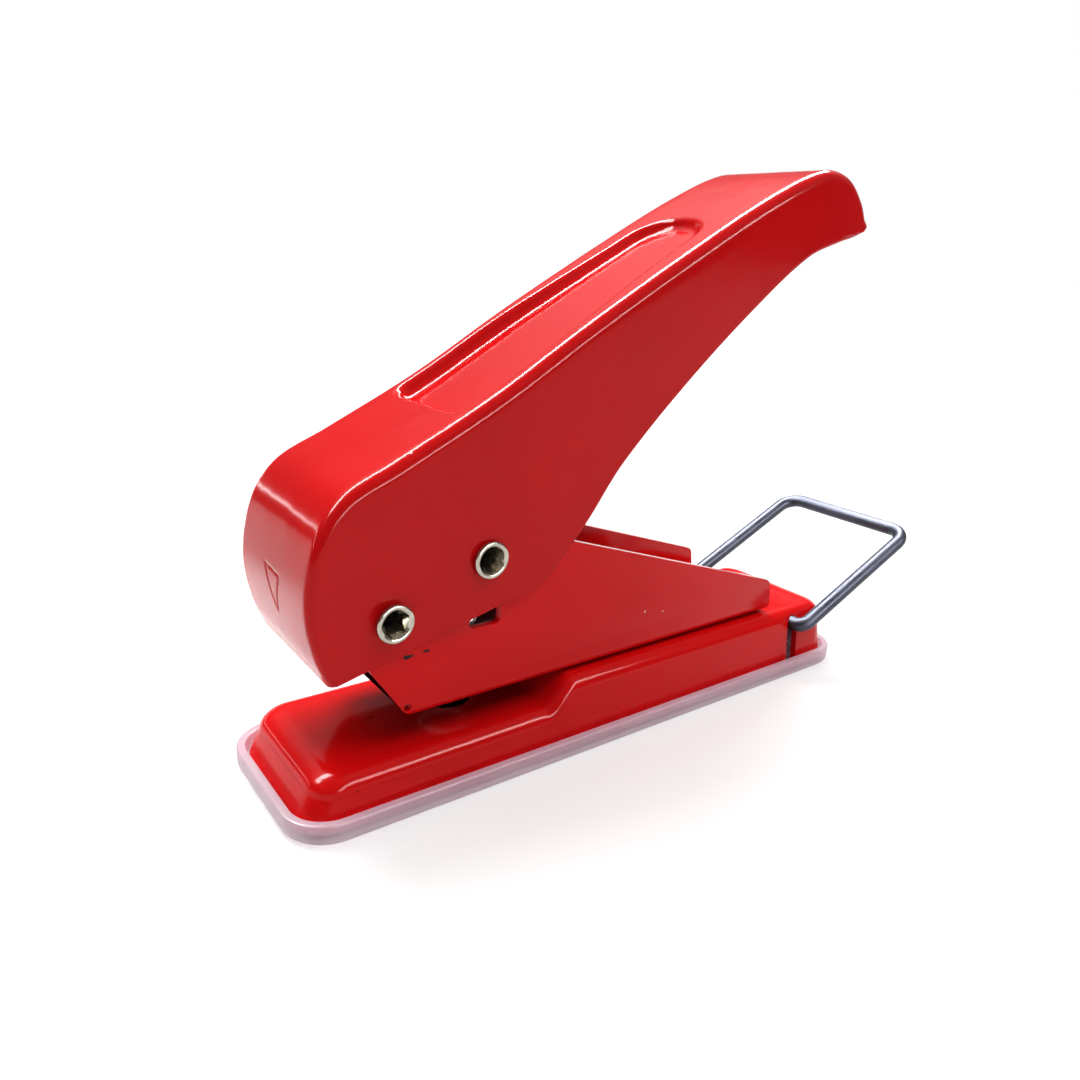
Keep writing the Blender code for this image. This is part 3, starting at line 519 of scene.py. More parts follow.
zinc = metal("zinc_plate", (0.45, 0.45, 0.44), 0.36)
plate_outline = rounded([(-8, -7), (8, -7), (8, 7), (-8, 7)], [2.0] * 4, 8, closed=True)
die = prism("die_plate_steel", plate_outline + (punch_x, 0), 4.6, 6.1, "Z")
edge = die.modifiers.new("edge", "BEVEL")
edge.width, edge.segments, edge.limit_method = 0.15 * MM, 2, "ANGLE"
settle(die)
cut(die, [prism("die_hole", ring_of(3.15, 64) + (punch_x, 0), 3, 8, "Z")])
# painted shade: the die plate's steel is near black, so that it stays dark in the hole below the
# bracket
finish(die, metal("die_steel", (0.035, 0.035, 0.04), 0.55), "chassis", "plain_steel", "die_plate")

for label, x in (("front", -2.0), ("rear", 26.0)):
    dome = [(2.8 * math.cos(a), 0.9 * math.sin(a)) for a in np.linspace(0, math.pi / 2, 9)]
    profile = ([(r, 10.1 - h) for r, h in reversed(dome)] + [(1.5, 10.1), (1.5, 13.2)]
               + [(r, 13.2 + h) for r, h in dome])
    rivet = turned(f"base_rivet_{label}", profile, (x, 0, 0), points=48)
    finish(rivet, zinc, "chassis", "plain_steel", f"frame_rivet_{label}")

# Bracket: 1.2 mm sheet bent into a U along the punch, with high ears in front for the two rivets
# and low walls behind. Its floor is riveted to the deck, and each ear has an upright slot for the
# pin that moves the punch.
bracket_width, bracket_sheet, bend_outside = 19.8, 1.2, 1.8
bracket_foot, bracket_rear = 11.7, 34.3
pin_rest_x, pin_rest_z, pin_low_z = -25.0727, 32.0929, 24.2909
nose_radius, hump_radius = 5.6, 5.4
pin_radius, pin_swing, pin_play, rivet_hole = 1.7, 1.0727, 0.15, 1.85
relief_x, relief_z, relief_radius = -35.75, 13.5, 0.55


def arc(centre, radius, start, end, points):
    """Places on an arc between two angles in degrees."""
    angle = np.radians(np.linspace(start, end, points))
    return np.stack([centre[0] + radius * np.cos(angle), centre[1] + radius * np.sin(angle)], -1)


def bracket_side():
    """The bracket from the side: round ear over the pivot, hump over the pin, long low tail."""
    brow = math.degrees(math.atan2(pin_rest_z - pivot_z, punch_x - pivot_x)) + 90
    ear = arc((pivot_x, pivot_z), nose_radius, 213.7, brow, 40)
    hump = arc((punch_x, pin_rest_z), hump_radius, brow, 60, 24)
    lean = math.radians(213.7 - 90)
    drop = (ear[0, 1] - bracket_foot) / math.sin(lean)
    corners = [hump[-1], (punch_x + 11.2, pin_rest_z + 0.5), (bracket_rear - 0.9, 17.6),
               (bracket_rear, bracket_foot), (ear[0, 0] - drop * math.cos(lean), bracket_foot),
               ear[0]]
    foot = rounded(corners, [0, 6.0, 1.6, 0.9, 4.0, 0], 12)
    return np.vstack([ear, hump, foot[1:-1]])


def bent_bracket():
    """The U section drawn along X and trimmed to the side outline, then cut and edge rounded."""
    half, inner = bracket_width / 2, bend_outside - bracket_sheet
    low = bracket_foot + bend_outside
    section = np.vstack([
        [(-half, 45.0)], arc((-half + bend_outside, low), bend_outside, 180, 270, 13),
        arc((half - bend_outside, low), bend_outside, 270, 360, 13), [(half, 45.0)],
        [(half - bracket_sheet, 45.0)], arc((half - bend_outside, low), inner, 360, 270, 13),
        arc((-half + bend_outside, low), inner, 270, 180, 13), [(-half + bracket_sheet, 45.0)]])
    bracket = prism("bent_bracket", section, -60, 60, "X")
    cut(bracket, [prism("side_trim", bracket_side(), -20, 20, "Y")], "INTERSECT")
    slot_half = pin_radius + pin_swing / 2 + pin_play
    slot_end = pin_radius + 2 * pin_play - slot_half
    slot_foot = pin_low_z - slot_end - slot_half
    slot = np.vstack([arc((punch_x, pin_rest_z + slot_end), slot_half, 0, 180, 17), rounded(
        [(punch_x - slot_half, pin_low_z), (punch_x - slot_half, slot_foot),
         (punch_x + slot_half, slot_foot), (punch_x + slot_half, pin_low_z)], [0, 0.7, 0.7, 0])])
    cut(bracket, [
        prism("pin_slots", slot, -20, 20, "Y"),
        prism("pivot_holes", ring_of(rivet_hole, 32) + (pivot_x, pivot_z), -20, 20, "Y"),
        *(prism("bend_relief", ring_of(relief_radius, 20) + (relief_x, relief_z), *ends, "Y")
          for ends in ((-20, 0), (0, 20))),
        prism("guide_hole", ring_of(4.25, 48) + (punch_x, 0), 8, 14.5, "Z")])
    soft = bracket.modifiers.new("edge", "BEVEL")
    soft.width, soft.segments, soft.limit_method = 0.22 * MM, 3, "ANGLE"
    soft.angle_limit = math.radians(50)
    soft.use_clamp_overlap = True
    settle(bracket, 30)
    return bracket


bracket = bent_bracket()
# painted light: the bracket's enamel is a lighter red than the lever's
bracket_enamel = enamel("bracket_enamel", (0.78, 0.004, 0.005), 0.7)
finish(bracket, bracket_enamel, "chassis", "red_enamel", "frame_bracket")

# painted shade: the enamel's colour falls to near black on the inner faces between the ears, most
# towards the front, and on the floor's underside; two small chips in it, in the same dark colour,
# lie below the lever's edge
tree = bracket_enamel.node_tree
layer = next(each for each in tree.nodes if each.type == "GROUP")
where = own_place(tree)
place = node(tree, "ShaderNodeSeparateXYZ", {"Vector": where})
inner_face = bracket_width / 2 - bracket_sheet
outside = ranged(tree, reckoned(tree, "ABSOLUTE", place.outputs["Y"]), (inner_face + 0.05) * MM,
                 (inner_face + 0.3) * MM)
clear_of_chips_and_shade = reckoned(tree, "MAXIMUM", outside,
                 ranged(tree, place.outputs["X"], -0.012, 0.012, 0.04, 0.8))
clear_of_chips_and_shade = reckoned(tree, "MULTIPLY", clear_of_chips_and_shade, ranged(
    tree, place.outputs["Z"], (bracket_foot + 0.05) * MM, (bracket_foot + 0.3) * MM))
ragged = noise(tree, where, 2200.0)
for chip, size in (((-35.75, -9.9, 20.65), 0.42), ((-33.2, -9.9, 20.85), 0.26)):
    away = node(tree, "ShaderNodeVectorMath", {0: where, 1: [part * MM for part in chip]},
                operation="SUBTRACT")
    flat_away = node(tree, "ShaderNodeMapping", {"Vector": away.outputs["Vector"],
                                                "Rotation": (0, math.radians(15), 0),
                                                "Scale": (0.55, 1.0, 1.6)})
    far = node(tree, "ShaderNodeVectorMath", {0: flat_away.outputs["Vector"]}, operation="LENGTH")
    kept = reckoned(tree, "GREATER_THAN", far.outputs["Value"],
                    ranged(tree, ragged, 0.3, 0.7, size * 0.5 * MM, size * 1.5 * MM))
    clear_of_chips_and_shade = reckoned(tree, "MULTIPLY", clear_of_chips_and_shade, kept)
# near black for the painted shade and for the chips
chipped_and_shaded = mixed(tree, clear_of_chips_and_shade, (0.03, 0.012, 0.012, 1), layer.outputs["Colour"])
put_out(tree, tree.nodes["Principled BSDF"], {"Base Color": chipped_and_shaded})

# Punch: a hardened round rod with a hollow tip, pinned into a turned steel head that the drive pin
# carries in a level slot. It slides in a flanged guide in the bracket's floor.
head_foot, head_top, head_radius, head_slot_half = 26.393, 36.293, 4.5, 1.9
rod_top, rod_tip, rod_radius, cross_radius = 29.0929, 12.1, 3.0, 0.6
floor_top = bracket_foot + bracket_sheet
ground = metal("ground_steel", (0.66, 0.66, 0.68), 0.18, 700.0, 0.15)
rod = turned("punch_rod_steel", rounded(
    [(0, rod_tip + 0.9), (rod_radius, rod_tip), (rod_radius, rod_top), (0, rod_top)],
    [0, 0.05, 0.4, 0]),
    (punch_x, 0, 0), points=72)
finish(rod, ground, "punch", "ground_steel", "punch_rod")
head = turned("punch_head_steel", rounded(
    [(0, rod_top + 0.3), (rod_radius + 0.3, rod_top + 0.3), (rod_radius + 0.3, head_foot),
     (head_radius, head_foot), (head_radius, head_top), (0, head_top)],
    [0, 0.1, 0.1, 0.3, 0.5, 0]), (punch_x, 0, 0), points=72)
slot_middle = 0.4864
head_slot = np.vstack([arc((punch_x + slot_middle, pin_rest_z), head_slot_half, -90, 90, 17),
                       arc((punch_x - slot_middle, pin_rest_z), head_slot_half, 90, 270, 17)])
cross_z = (head_foot + rod_top) / 2
cut(head, [prism("head_slot", head_slot, -9, 9, "Y"),
           prism("head_pin_hole", ring_of(0.9, 24) + (0, cross_z), -60, 9, "X")])
# painted shade: the punch head's steel is near black, so that it stays dark behind the slots
shade_dark_steel = metal("shade_dark_steel", (0.05, 0.05, 0.055), 0.42)
finish(head, shade_dark_steel, "punch", "plain_steel", "punch_head")
cross_half = head_radius - 0.2
cross = turned("head_cross_pin", rounded(
    [(0, -cross_half), (cross_radius, -cross_half), (cross_radius, cross_half), (0, cross_half)],
    [0, 0.15, 0.15, 0], 3), (punch_x, 0, cross_z), "X", 24)
finish(cross, zinc, "punch", "plain_steel", "head_pin")
guide = turned("punch_guide_steel", rounded(
    [(3.15, bracket_foot), (3.95, bracket_foot), (3.95, floor_top + 0.3), (5.3, floor_top + 0.3),
     (5.3, floor_top + 1.0), (3.15, floor_top + 1.0)], [0.1, 0.1, 0.1, 0.2, 0.2, 0.3],
    closed=True), (punch_x, 0, 0), closed=True)
finish(guide, zinc, "chassis", "plain_steel", "punch_guide")
washer = turned("spring_washer_steel", rounded(
    [(3.3, 14.2), (4.9, 14.2), (4.9, 14.7), (3.3, 14.7)], [0.1] * 4, 3, closed=True),
    (punch_x, 0, 0), closed=True)
finish(washer, zinc, "chassis", "plain_steel", "spring_washer")


def wire(name, path, sides_of, radius, sides=20):
    """Round wire along a path: each ring is the path's place plus radius times (cos a x side
    + sin a x (tangent x side)).

    The last rings at each end shrink as sqrt(1 - (1 - d / bevel)^2), for a trimmed, broken edge.
    """
    tangent = np.gradient(path, axis=0)
    tangent /= np.linalg.norm(tangent, axis=1, keepdims=True)
    bevel = radius * 0.4
    d = np.array([0, 0.05, 0.2, 0.5, 1.0]) * bevel
    start = path[0] + tangent[0] * d[:, None]
    end = (path[-1] - tangent[-1] * d[:, None])[::-1]
    core = path[1:-1]
    path = np.vstack([start[:1], start, core, end, end[-1:]])
    shrink = np.concatenate([[0], 0.75 + 0.25 * np.sqrt(1 - (1 - d / bevel) ** 2)])
    size = np.concatenate([shrink, np.ones(len(core)), shrink[::-1]])[:, None, None] * radius
    repeat = len(d) + 1
    side = np.vstack([np.repeat(sides_of[:1], repeat, 0), sides_of[1:-1],
                      np.repeat(sides_of[-1:], repeat, 0)])
    tangent = np.vstack([np.repeat(tangent[:1], repeat, 0), tangent[1:-1],
                         np.repeat(tangent[-1:], repeat, 0)])
    other = np.cross(tangent, side)
    angle = np.linspace(0, 2 * math.pi, sides, endpoint=False)[None, :, None]
    rings = path[:, None] + size * (side[:, None] * np.cos(angle) + other[:, None] * np.sin(angle))
    return piece_from(name, rings.reshape(-1, 3), grid_faces(len(path), sides, wrap_columns=True))


spring_foot, spring_top, punch_stroke = 15.0, head_foot - 0.3, 7.81


def coil_spring():
    """Helix with closer turns at both ends: height rises slowly, evenly, then slowly again."""
    turns, end_turns, diameter, ring = 4.0, 0.75, 0.7, 4.0
    low, high = spring_foot + diameter / 2, spring_top - diameter / 2
    end_rise = end_turns * (diameter + 0.5)
    turn = np.linspace(0, turns, 321)
    height = np.interp(turn, [0, end_turns, turns - end_turns, turns],
                       [low, low + end_rise, high - end_rise, high])
    kernel = np.ones(21) / 21
    height = np.convolve(np.pad(height, 10, mode="reflect", reflect_type="odd"), kernel, "valid")
    angle = 2 * math.pi * turn
    side = np.stack([np.cos(angle), np.sin(angle), 0 * angle], -1)
    path = side * ring + np.stack([0 * turn + punch_x, 0 * turn, height], -1)
    return wire("coil_spring", path, side, diameter / 2, 14)


spring = coil_spring()
finish(spring, metal("spring_wire", (0.5, 0.5, 0.52), 0.25, 600.0, 0.2), "chassis",
       "spring_steel", "return_spring")
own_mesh(spring)

# Lever: one red enamelled pressing, a channel open below. Its top sheet runs down over a round nose
# and a turned-down tail, with a long finger recess along the back and a pressed mark on the nose.
lever_length, lever_height, lever_width, lever_tail_width = 93.9, 62.6, 22.4, 20.4
nose_x, lever_low = pivot_x - 10.3, pivot_z - 7.15
edge_round = 1.8
top_line_shares = np.array([
    (0.027, 0.000), (0.010, 0.066), (0.000, 0.153), (0.006, 0.240), (0.024, 0.315),
    (0.056, 0.370), (0.122, 0.419), (0.262, 0.526), (0.417, 0.664), (0.593, 0.811),
    (0.751, 0.934), (0.863, 1.000), (0.924, 0.994), (0.971, 0.948), (1.000, 0.891)])
edge_line_shares = np.array([
    (0.333, 0.114), (0.342, 0.121), (0.352, 0.130), (0.363, 0.141), (0.374, 0.157),
    (0.384, 0.175), (0.396, 0.196), (0.425, 0.248), (0.483, 0.363), (0.601, 0.533),
    (0.736, 0.699), (0.840, 0.806), (0.912, 0.843), (0.953, 0.858), (0.985, 0.873)])
row_stretches = ((0, 1, 16), (1, 2, 34), (2, 3, 34), (3, 4, 16), (4, 5, 14), (5, 6, 14),
                 (6, 6.57, 14), (6.57, 6.76, 32), (6.76, 7, 10), (7, 8, 26), (8, 9, 26),
                 (9, 9.38, 14), (9.38, 9.61, 28), (9.61, 10, 12), (10, 11, 18), (11, 12, 14),
                 (12, 13, 14), (13, 14, 16))
nose_edge_round = 1.2
recess_start, recess_end, recess_depth, recess_end_depth = 0.209, 0.684, 1.75, 1.35
recess_rim_round, recess_foot_round = 1.1, 1.5
recess_half, recess_end_half, recess_corner, recess_closing = 9.25, 7.1, 3.2, 6.7
mark_corners = np.array([(2.1, 31.6), (-2.5, 31.2), (-1.3, 26.4)])


def curve_through(points, spans):
    """Hermite curve: chord c and slopes m give p0 (2t3-3t2+1) + m0 c (t3-2t2+t)
    + p1 (3t2-2t3) + m1 c (t3-t2)."""
    chord = np.linalg.norm(np.diff(points, axis=0), axis=1)[:, None]
    slope = np.empty_like(points)
    slope[0] = (points[1] - points[0]) / chord[0]
    slope[-1] = (points[-1] - points[-2]) / chord[-1]
    slope[1:-1] = (points[2:] - points[:-2]) / (chord[:-1] + chord[1:])
    at = np.clip(spans, 0, len(points) - 1 - 1e-9)
    i = at.astype(int)
    t = (at - i)[:, None]
    return (points[i] * (2 * t ** 3 - 3 * t ** 2 + 1)
            + slope[i] * chord[i] * (t ** 3 - 2 * t ** 2 + t)
            + points[i + 1] * (3 * t ** 2 - 2 * t ** 3)
            + slope[i + 1] * chord[i] * (t ** 3 - t ** 2))


def half_width_at(x):
    """Half the lever's width: even, then drawn in with the square of the way into the tail."""
    share = (x - nose_x) / lever_length
    t = np.clip((share - 0.86) / 0.14, 0, 1)
    return (lever_width - (lever_width - lever_tail_width) * t * t) / 2


def recess_half_at(run, share, start, end):
    """Half the recess's width: a quarter-round corner in front, one smooth narrowing, and a half
    oval over the last stretch."""
    half = recess_half - (recess_half - recess_end_half) * smooth_rise((share - 0.33) / 0.3)
    into = np.clip((run - start) / recess_corner, 0, 1)
    left = np.clip((end - run) / recess_closing, 0, 1)
    return (half - recess_corner * (1 - np.sqrt(into * (2 - into)))) * np.sqrt(left * (2 - left))


def near_segment(p, a, b):
    """Distance from places p to the straight line between a and b."""
    t = np.clip(((p - a) @ (b - a)) / ((b - a) @ (b - a)), 0, 1)[..., None]
    return np.linalg.norm(p - a - t * (b - a), axis=-1)


def wall_of_two_arcs(away, depth):
    """Depth at a distance inward from the recess's outline: r - sqrt(r^2 - away^2) over the rim's
    arc, then depth - q + sqrt(q^2 - (width - away)^2) up to the foot. Both arcs end at the slope
    whose cosine is 1 - depth / (r + q)."""
    r, q = recess_rim_round, recess_foot_round
    steep = np.sqrt(1 - (1 - depth / (r + q)) ** 2)
    rim = r - np.sqrt(r * r - np.clip(away, 0, r * steep) ** 2)
    foot = depth - q + np.sqrt(q * q - np.clip((r + q) * steep - away, 0, q * steep) ** 2)
    return np.where(away < r * steep, rim, foot)


def pressed_lever():
    """Rows run from the nose's lower end over the top to the tail, columns from the near lower edge
    up the side, over the fillet, across the top and down the far side.

    Depth below the top line runs along the line to the lower edge. The fillet is a quarter circle.
    """
    spans = np.concatenate([[0, 0.004, 0.015, 0.04]] + [
        np.linspace(*stretch, endpoint=False) for stretch in row_stretches]
        + [[13.96, 13.985, 13.996, 14]])
    spans = np.unique(spans)
    place = np.array([nose_x, lever_low])
    size = np.array([lever_length, lever_height])
    top_line = curve_through(place + top_line_shares * size, spans)
    edge_line = curve_through(place + edge_line_shares * size, spans)
    tangent = np.gradient(top_line, spans, axis=0)
    tangent /= np.linalg.norm(tangent, axis=1, keepdims=True)
    inward = np.stack([tangent[:, 1], -tangent[:, 0]], -1)
    wall = np.linalg.norm(edge_line - top_line, axis=1, keepdims=True)
    down = (edge_line - top_line) / wall
    stretch = 1 / np.maximum((down * inward).sum(1, keepdims=True), 0.5)
    share = (top_line[:, :1] - nose_x) / lever_length
    full = nose_edge_round + (edge_round - nose_edge_round) \
        * smooth_rise((top_line[:, 1:] - 36) / 9)
    radius = np.minimum(full, wall / stretch * 0.6)
    run = row_lengths(top_line[:, None])
    past_nose = int(np.argmin(top_line[:, 0]))
    start, end = np.interp((recess_start, recess_end), share[past_nose:, 0], run[past_nose:, 0])

    # side: from the lower edge, closely spaced at first, up to the fillet
    climb = np.concatenate([[0, 0.002, 0.007, 0.016, 0.03], np.linspace(0.06, 1, 10)])[:-1]
    fillet_top = top_line + down * radius * stretch
    side = edge_line[:, None] + (fillet_top - edge_line)[:, None] * climb[:, None]
    side_half = half_width_at(side[..., 0])
    angle = np.linspace(0, math.pi / 2, 10)
    bend = top_line[:, None] + down[:, None] * ((radius * stretch) * (1 - np.sin(angle)))[..., None]
    bend_half = half_width_at(bend[..., 0]) - radius * (1 - np.cos(angle))

    # top: columns follow the recess's walls, and crowd round the mark on the nose
    flat = half_width_at(top_line[:, :1]) - radius
    along = np.linspace(0, 1, 121) ** 0.8
    along = np.unique(np.concatenate([along, 1 - along]))[:, None]
    outline_run = start + (end - start) * along
    outline_share = np.interp(outline_run, run[past_nose:, 0], share[past_nose:, 0])
    outline_half = recess_half_at(outline_run, outline_share, start, end)
    row_half = np.interp(run, outline_run[:, 0], outline_half[:, 0])
    line = np.clip(row_half, np.where(run > end, 2.4 + (run - end) * 0.4, np.where(
        run < start, recess_half, 2.4)), flat - 0.15)
    inner = line - np.minimum(2.55, line * 0.6)
    even = np.linspace(-1, 1, 41)
    crowded = np.interp(even, [-1, -0.72, 0.72, 1], [-1, -3.3 / 6.95, 2.9 / 6.95, 1])
    near_mark = 1 - smooth_rise((top_line[:, 1:] - 33) / 6)
    middle = inner * (even + near_mark * (crowded - even))
    step_out = np.linspace(0, 1, 19)[1:]
    beyond = inner + (line + 0.05 - inner) * step_out
    last = line + 0.05 + (flat - line - 0.05) * np.linspace(0, 1, 4)[1:-1]
    y = np.hstack([-last[:, ::-1], -beyond[:, ::-1], middle, beyond, last])

    # recess: the depth rises with the distance inward from the recess's outline
    flat_place = np.stack([np.broadcast_to(run, y.shape), y], -1)
    edge_side = np.hstack([outline_run, outline_half])
    outline = np.vstack([edge_side, edge_side[::-1] * (1, -1)])
    away = np.full(y.shape, 1e3)
    for i in range(len(outline)):
        if np.linalg.norm(outline[i] - outline[i - 1]) > 1e-6:
            away = np.minimum(away, near_segment(flat_place, outline[i - 1], outline[i]))
    away = np.where((np.abs(y) < row_half) & (run > start) & (run < end), away, 0)
    depth = recess_depth - (recess_depth - recess_end_depth) * smooth_rise((share - 0.36) / 0.26)
    sunk = wall_of_two_arcs(away, depth)
    here = np.stack([y, np.broadcast_to(top_line[:, 1:], y.shape)], -1)
    to_mark = np.min([near_segment(here, mark_corners[i - 1], mark_corners[i])
                      for i in range(3)], axis=0)
    sunk = sunk + 0.14 * np.exp(-(to_mark / 0.17) ** 2)
    flat_top = top_line[:, None] + inward[:, None] * sunk[..., None]

    def with_y(plane, y_of):
        return np.stack([plane[..., 0], y_of, plane[..., 1]], -1)

    near_part = np.concatenate([with_y(side, -side_half), with_y(bend, -bend_half)], 1)
    far_part = np.concatenate([with_y(side, side_half), with_y(bend, bend_half)], 1)[:, ::-1]
    outside = np.concatenate([near_part, with_y(flat_top, y), far_part], 1)
    return sheet_from("pressed_lever", outside[:, ::-1], sheet_mm, 0.3)


lever = pressed_lever()
cut(lever, [
    prism("pivot_holes", ring_of(rivet_hole, 40) + (pivot_x, pivot_z), -20, 20, "Y"),
    prism("pin_holes", ring_of(rivet_hole, 40) + (pin_rest_x, pin_rest_z), -20, 20, "Y")])
# painted shade: the lever's enamel is a darker red than the base's and the bracket's
finish(lever, enamel("lever_enamel", (0.63, 0.004, 0.005), 1.5), "lever", "red_enamel",
       "handle_shell")

# Tubular rivets: nickel plated steel tubes through the lever and the bracket, each end rolled over
# into a ring. The tube's end has split into petals under the rolling tool. Sleeves keep them
# centred.
nickel = metal("nickel_plate", (0.44, 0.41, 0.34), 0.2, 900.0, 0.2)


def tubular_rivet(name, centre, head_height, petals, torn):
    """Turned tube with a rolled ring at both ends.

    Inside the ring the funnel's radius swings with |cos(petals x angle / 2)|, deepest half way in.
    """
    seat, inside, crown = 11.35, 1.2, 0.32
    height = seat + head_height
    ring = rounded([(1.7, seat), (2.05, seat), (2.45, height - 0.55), (2.45, height),
                    (1.85, height), (1.62, height - 0.9), (inside, height - 2.2),
                    (inside - 0.02, 0)], [0, 0.1, 0.3, crown, crown, 0.3, 0.8, 0], 7)
    profile = np.vstack([ring, (ring * (1, -1))[::-1][1:]])
    angle = np.linspace(0, 2 * math.pi, 120, endpoint=False)
    radius = np.broadcast_to(profile[:, :1], (len(profile), 120)).copy()
    along = np.broadcast_to(profile[:, 1:], radius.shape).copy()
    depth = height - np.abs(along)
    in_funnel = (radius < 1.86) * np.exp(-((depth - 1.0) / 0.6) ** 2)
    swing = np.abs(np.cos(petals * angle / 2 + 0.4)) ** 0.5
    radius -= torn * in_funnel * (swing - 0.35) * (1 + 0.35 * np.sin(2 * angle + 1))
    along *= 1 + 0.004 * np.sin(3 * angle + 0.6) * (radius > 1.5)
    rings = np.stack([radius * np.cos(angle), along, radius * np.sin(angle)], -1)
    faces = grid_faces(*radius.shape, wrap_rows=True, wrap_columns=True)
    return piece_from(name, rings.reshape(-1, 3) + centre, faces, 60)


pivot_rivet = tubular_rivet("pivot_rivet_nickel", (pivot_x, 0, pivot_z), 1.2, 5, 0.55)
finish(pivot_rivet, nickel, "chassis", "nickel", "pivot_rivet")
drive_rivet = tubular_rivet("drive_pin_nickel", (pin_rest_x, 0, pin_rest_z), 0.75, 4, 0.2)
finish(drive_rivet, nickel, "lever", "nickel", "drive_pin")
sleeve_radius = 2.95
for label, centre, low, high, body in (
        ("pivot_spacer", (pivot_x, 0, pivot_z), -8.4, 8.4, "chassis"),
        ("pin_spacer_near", (pin_rest_x, 0, pin_rest_z), -8.4, -4.8, "lever"),
        ("pin_spacer_far", (pin_rest_x, 0, pin_rest_z), 4.8, 8.4, "lever")):
    sleeve = turned(label + "_sleeve", rounded(
        [(rivet_hole, low), (sleeve_radius, low), (sleeve_radius, high), (rivet_hole, high)],
        [0.1, 0.2, 0.2, 0.1], 3, closed=True), centre, "Y", closed=True)
    finish(sleeve, zinc, body, "plain_steel", label)

# Bail: one length of blued steel wire bent into a square loop. Its ends are turned in through the
# slits in the base's walls, and the loop swings up over the pressed lever to lock it.
def bent_bail():
    """Centre line: end, short turn, long side, corner, bar and back, laid in a leaning plane."""
    half, reach, rise = 13.6, 31.1, math.radians(24.3)
    flat_path = rounded([(0, -8.6), (0, -half), (reach, -half), (reach, half), (0, half), (0, 8.6)],
                        [0, 1.8, 3.4, 3.4, 1.8, 0], 18)
    path = np.stack([bail_x + flat_path[:, 0] * math.cos(rise), flat_path[:, 1],
                     bail_z + flat_path[:, 0] * math.sin(rise)], -1)
    side = np.tile([-math.sin(rise), 0, math.cos(rise)], (len(path), 1))
    return wire("wire_bail", path, side, wire_radius, 28)


bail = bent_bail()
finish(bail, metal("blued_wire", (0.055, 0.058, 0.075), 0.42, 300.0, 0.25), "bail",
       "dark_steel", "bail_wire")

# Studio: a pale table in a bright room. A soft box behind and above and a weaker light in front
# light the colours, three strips draw the long highlights on the nose, the lever's bends and the
# base, and a narrow spot brightens the table beside the nose.
bpy.context.scene.view_settings.view_transform = "Standard"


def lamp(name, place, along, width, height, power, gloss_only=None):
    """A rectangular lamp of watts, in metres, that faces the punch with its width along a vector.

    Highlight strips light gloss alone and the others all else, so each can have its own size.
    """
    data = bpy.data.lights.new(name, "AREA")
    data.shape = "RECTANGLE"
    data.size, data.size_y, data.energy = width, height, power
    made = bpy.data.objects.new(name, data)
    back = (Vector(place) - Vector((0, 0, 0.035))).normalized()
    side = (Vector(along) - back * Vector(along).dot(back)).normalized()
    turn = Matrix((side, back.cross(side), back)).transposed().to_4x4()
    made.matrix_world = Matrix.Translation(place) @ turn
    if gloss_only is not None:
        made.visible_diffuse = not gloss_only
        made.visible_glossy = gloss_only
    bpy.context.scene.collection.objects.link(made)


lamp("soft_box", (0.0, 0.24, 0.46), (1, 0, 0), 0.30, 0.30, 2.4, False)
lamp("front_fill", (0.16, -0.27, 0.48), (1, 0, 0), 0.50, 0.25, 1.15, False)
lamp("nose_strip", (-0.36, 0.45, 0.115), (0.78, 0.62, 0), 0.60, 0.012, 0.35, True)
lamp("long_strip_above", (-0.02, 0.18, 0.45), (1, 0, 0), 1.0, 0.13, 22.0, True)
lamp("low_strip_front", (0.095, -0.41, 0.185), (0.39, 0.16, 0.19), 0.50, 0.07, 3.2, True)
spot_data = bpy.data.lights.new("table_spot", "SPOT")
spot_data.energy, spot_data.spot_size, spot_data.spot_blend = 6.0, math.radians(17), 1.0
spot_data.shadow_soft_size = 0.02
spot = bpy.data.objects.new("table_spot", spot_data)
spot.location = (-0.085, 0.06, 0.30)
bpy.context.scene.collection.objects.link(spot)

table_data = bpy.data.meshes.new("table")
table_data.from_pydata([(-6, -6, 0), (6, -6, 0), (6, 6, 0), (-6, 6, 0)], [], [(0, 1, 2, 3)])
table = bpy.data.objects.new("table", table_data)
bpy.context.scene.collection.objects.link(table)


def background_seen(tree):
    """1 for the rays that show the background: the camera's, and those of gloss and of glass."""
    path = node(tree, "ShaderNodeLightPath").outputs
    return reckoned(tree, "MAXIMUM", path["Is Transmission Ray"],
                    reckoned(tree, "MAXIMUM", path["Is Camera Ray"], path["Is Glossy Ray"]))


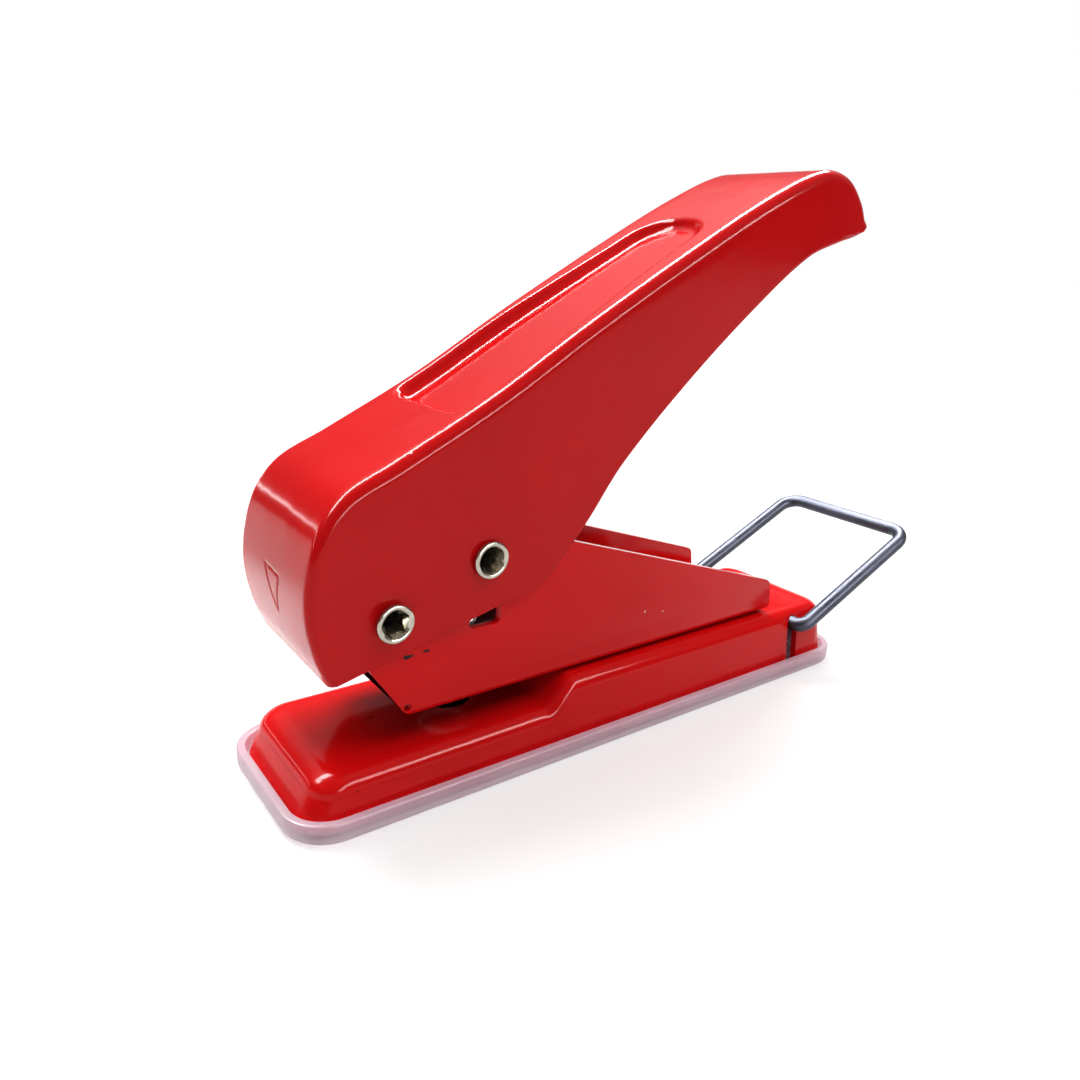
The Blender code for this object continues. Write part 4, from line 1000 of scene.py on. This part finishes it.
table_paint, tree, shader = new_material("table_paint")
shader.inputs["Base Color"].default_value = (0.62, 0.62, 0.62, 1)
shader.inputs["Roughness"].default_value = 0.9
shader.inputs["Specular IOR Level"].default_value = 0.0
where = own_place(tree)
place = node(tree, "ShaderNodeSeparateXYZ", {"Vector": where})
# painted shade: the white lift is left out under the tray, so the table seen through it stays dark
past_tray = [ranged(tree, reckoned(tree, "ABSOLUTE", place.outputs[axis]), (half - 4.0) * MM,
                    (half - 2.6) * MM)
             for axis, half in (("X", tray_length / 2), ("Y", tray_width / 2))]
from_middle = node(tree, "ShaderNodeVectorMath", {0: where}, operation="LENGTH")
lift = reckoned(tree, "MULTIPLY", reckoned(tree, "MAXIMUM", *past_tray), ranged(
    tree, from_middle.outputs["Value"], 0.12, 0.6, 0.48, 0.9, smooth=True))
pale = node(tree, "ShaderNodeEmission", {"Color": (1, 1, 1, 1), "Strength": lift})
both = node(tree, "ShaderNodeAddShader", {0: shader.outputs[0], 1: pale.outputs[0]})
mix = node(tree, "ShaderNodeMixShader", {0: background_seen(tree), 1: shader.outputs[0],
                                        2: both.outputs[0]})
tree.links.new(mix.outputs[0], tree.nodes["Material Output"].inputs["Surface"])
table_data.materials.append(table_paint)

# the room: brighter overhead and behind than in front, with a white wall low behind that gloss
# shows too, and white all round for the camera
room = bpy.data.worlds.new("bright_room")
bpy.context.scene.world = room
room.use_nodes = True
tree = room.node_tree
tree.nodes.clear()
direction = node(tree, "ShaderNodeTexCoord").outputs["Generated"]
split = node(tree, "ShaderNodeSeparateXYZ", {"Vector": direction})
across, depth, height = (split.outputs[axis] for axis in "XYZ")
behind = ranged(tree, depth, -0.2, 0.45, smooth=True)
overhead = reckoned(tree, "MULTIPLY", behind, ranged(tree, height, 0.42, 0.68, 0.0, 1.3, True))
light = reckoned(tree, "ADD", overhead, ranged(tree, height, 0.05, 0.6, 0.12, 0.30, True))
wall = reckoned(tree, "MULTIPLY", ranged(tree, height, 0.238, 0.262, 1.0, 0.0), behind)
wall = reckoned(tree, "MULTIPLY", wall, ranged(tree, across, -0.25, 0.0))
wall = reckoned(tree, "MULTIPLY", background_seen(tree), wall)
white = reckoned(tree, "MAXIMUM", wall,
                 node(tree, "ShaderNodeLightPath").outputs["Is Camera Ray"])
glow = node(tree, "ShaderNodeBackground", {
    "Color": (1, 1, 1, 1), "Strength": reckoned(tree, "MAXIMUM", light, white)})
node(tree, "ShaderNodeOutputWorld", {"Surface": glow.outputs["Background"]})
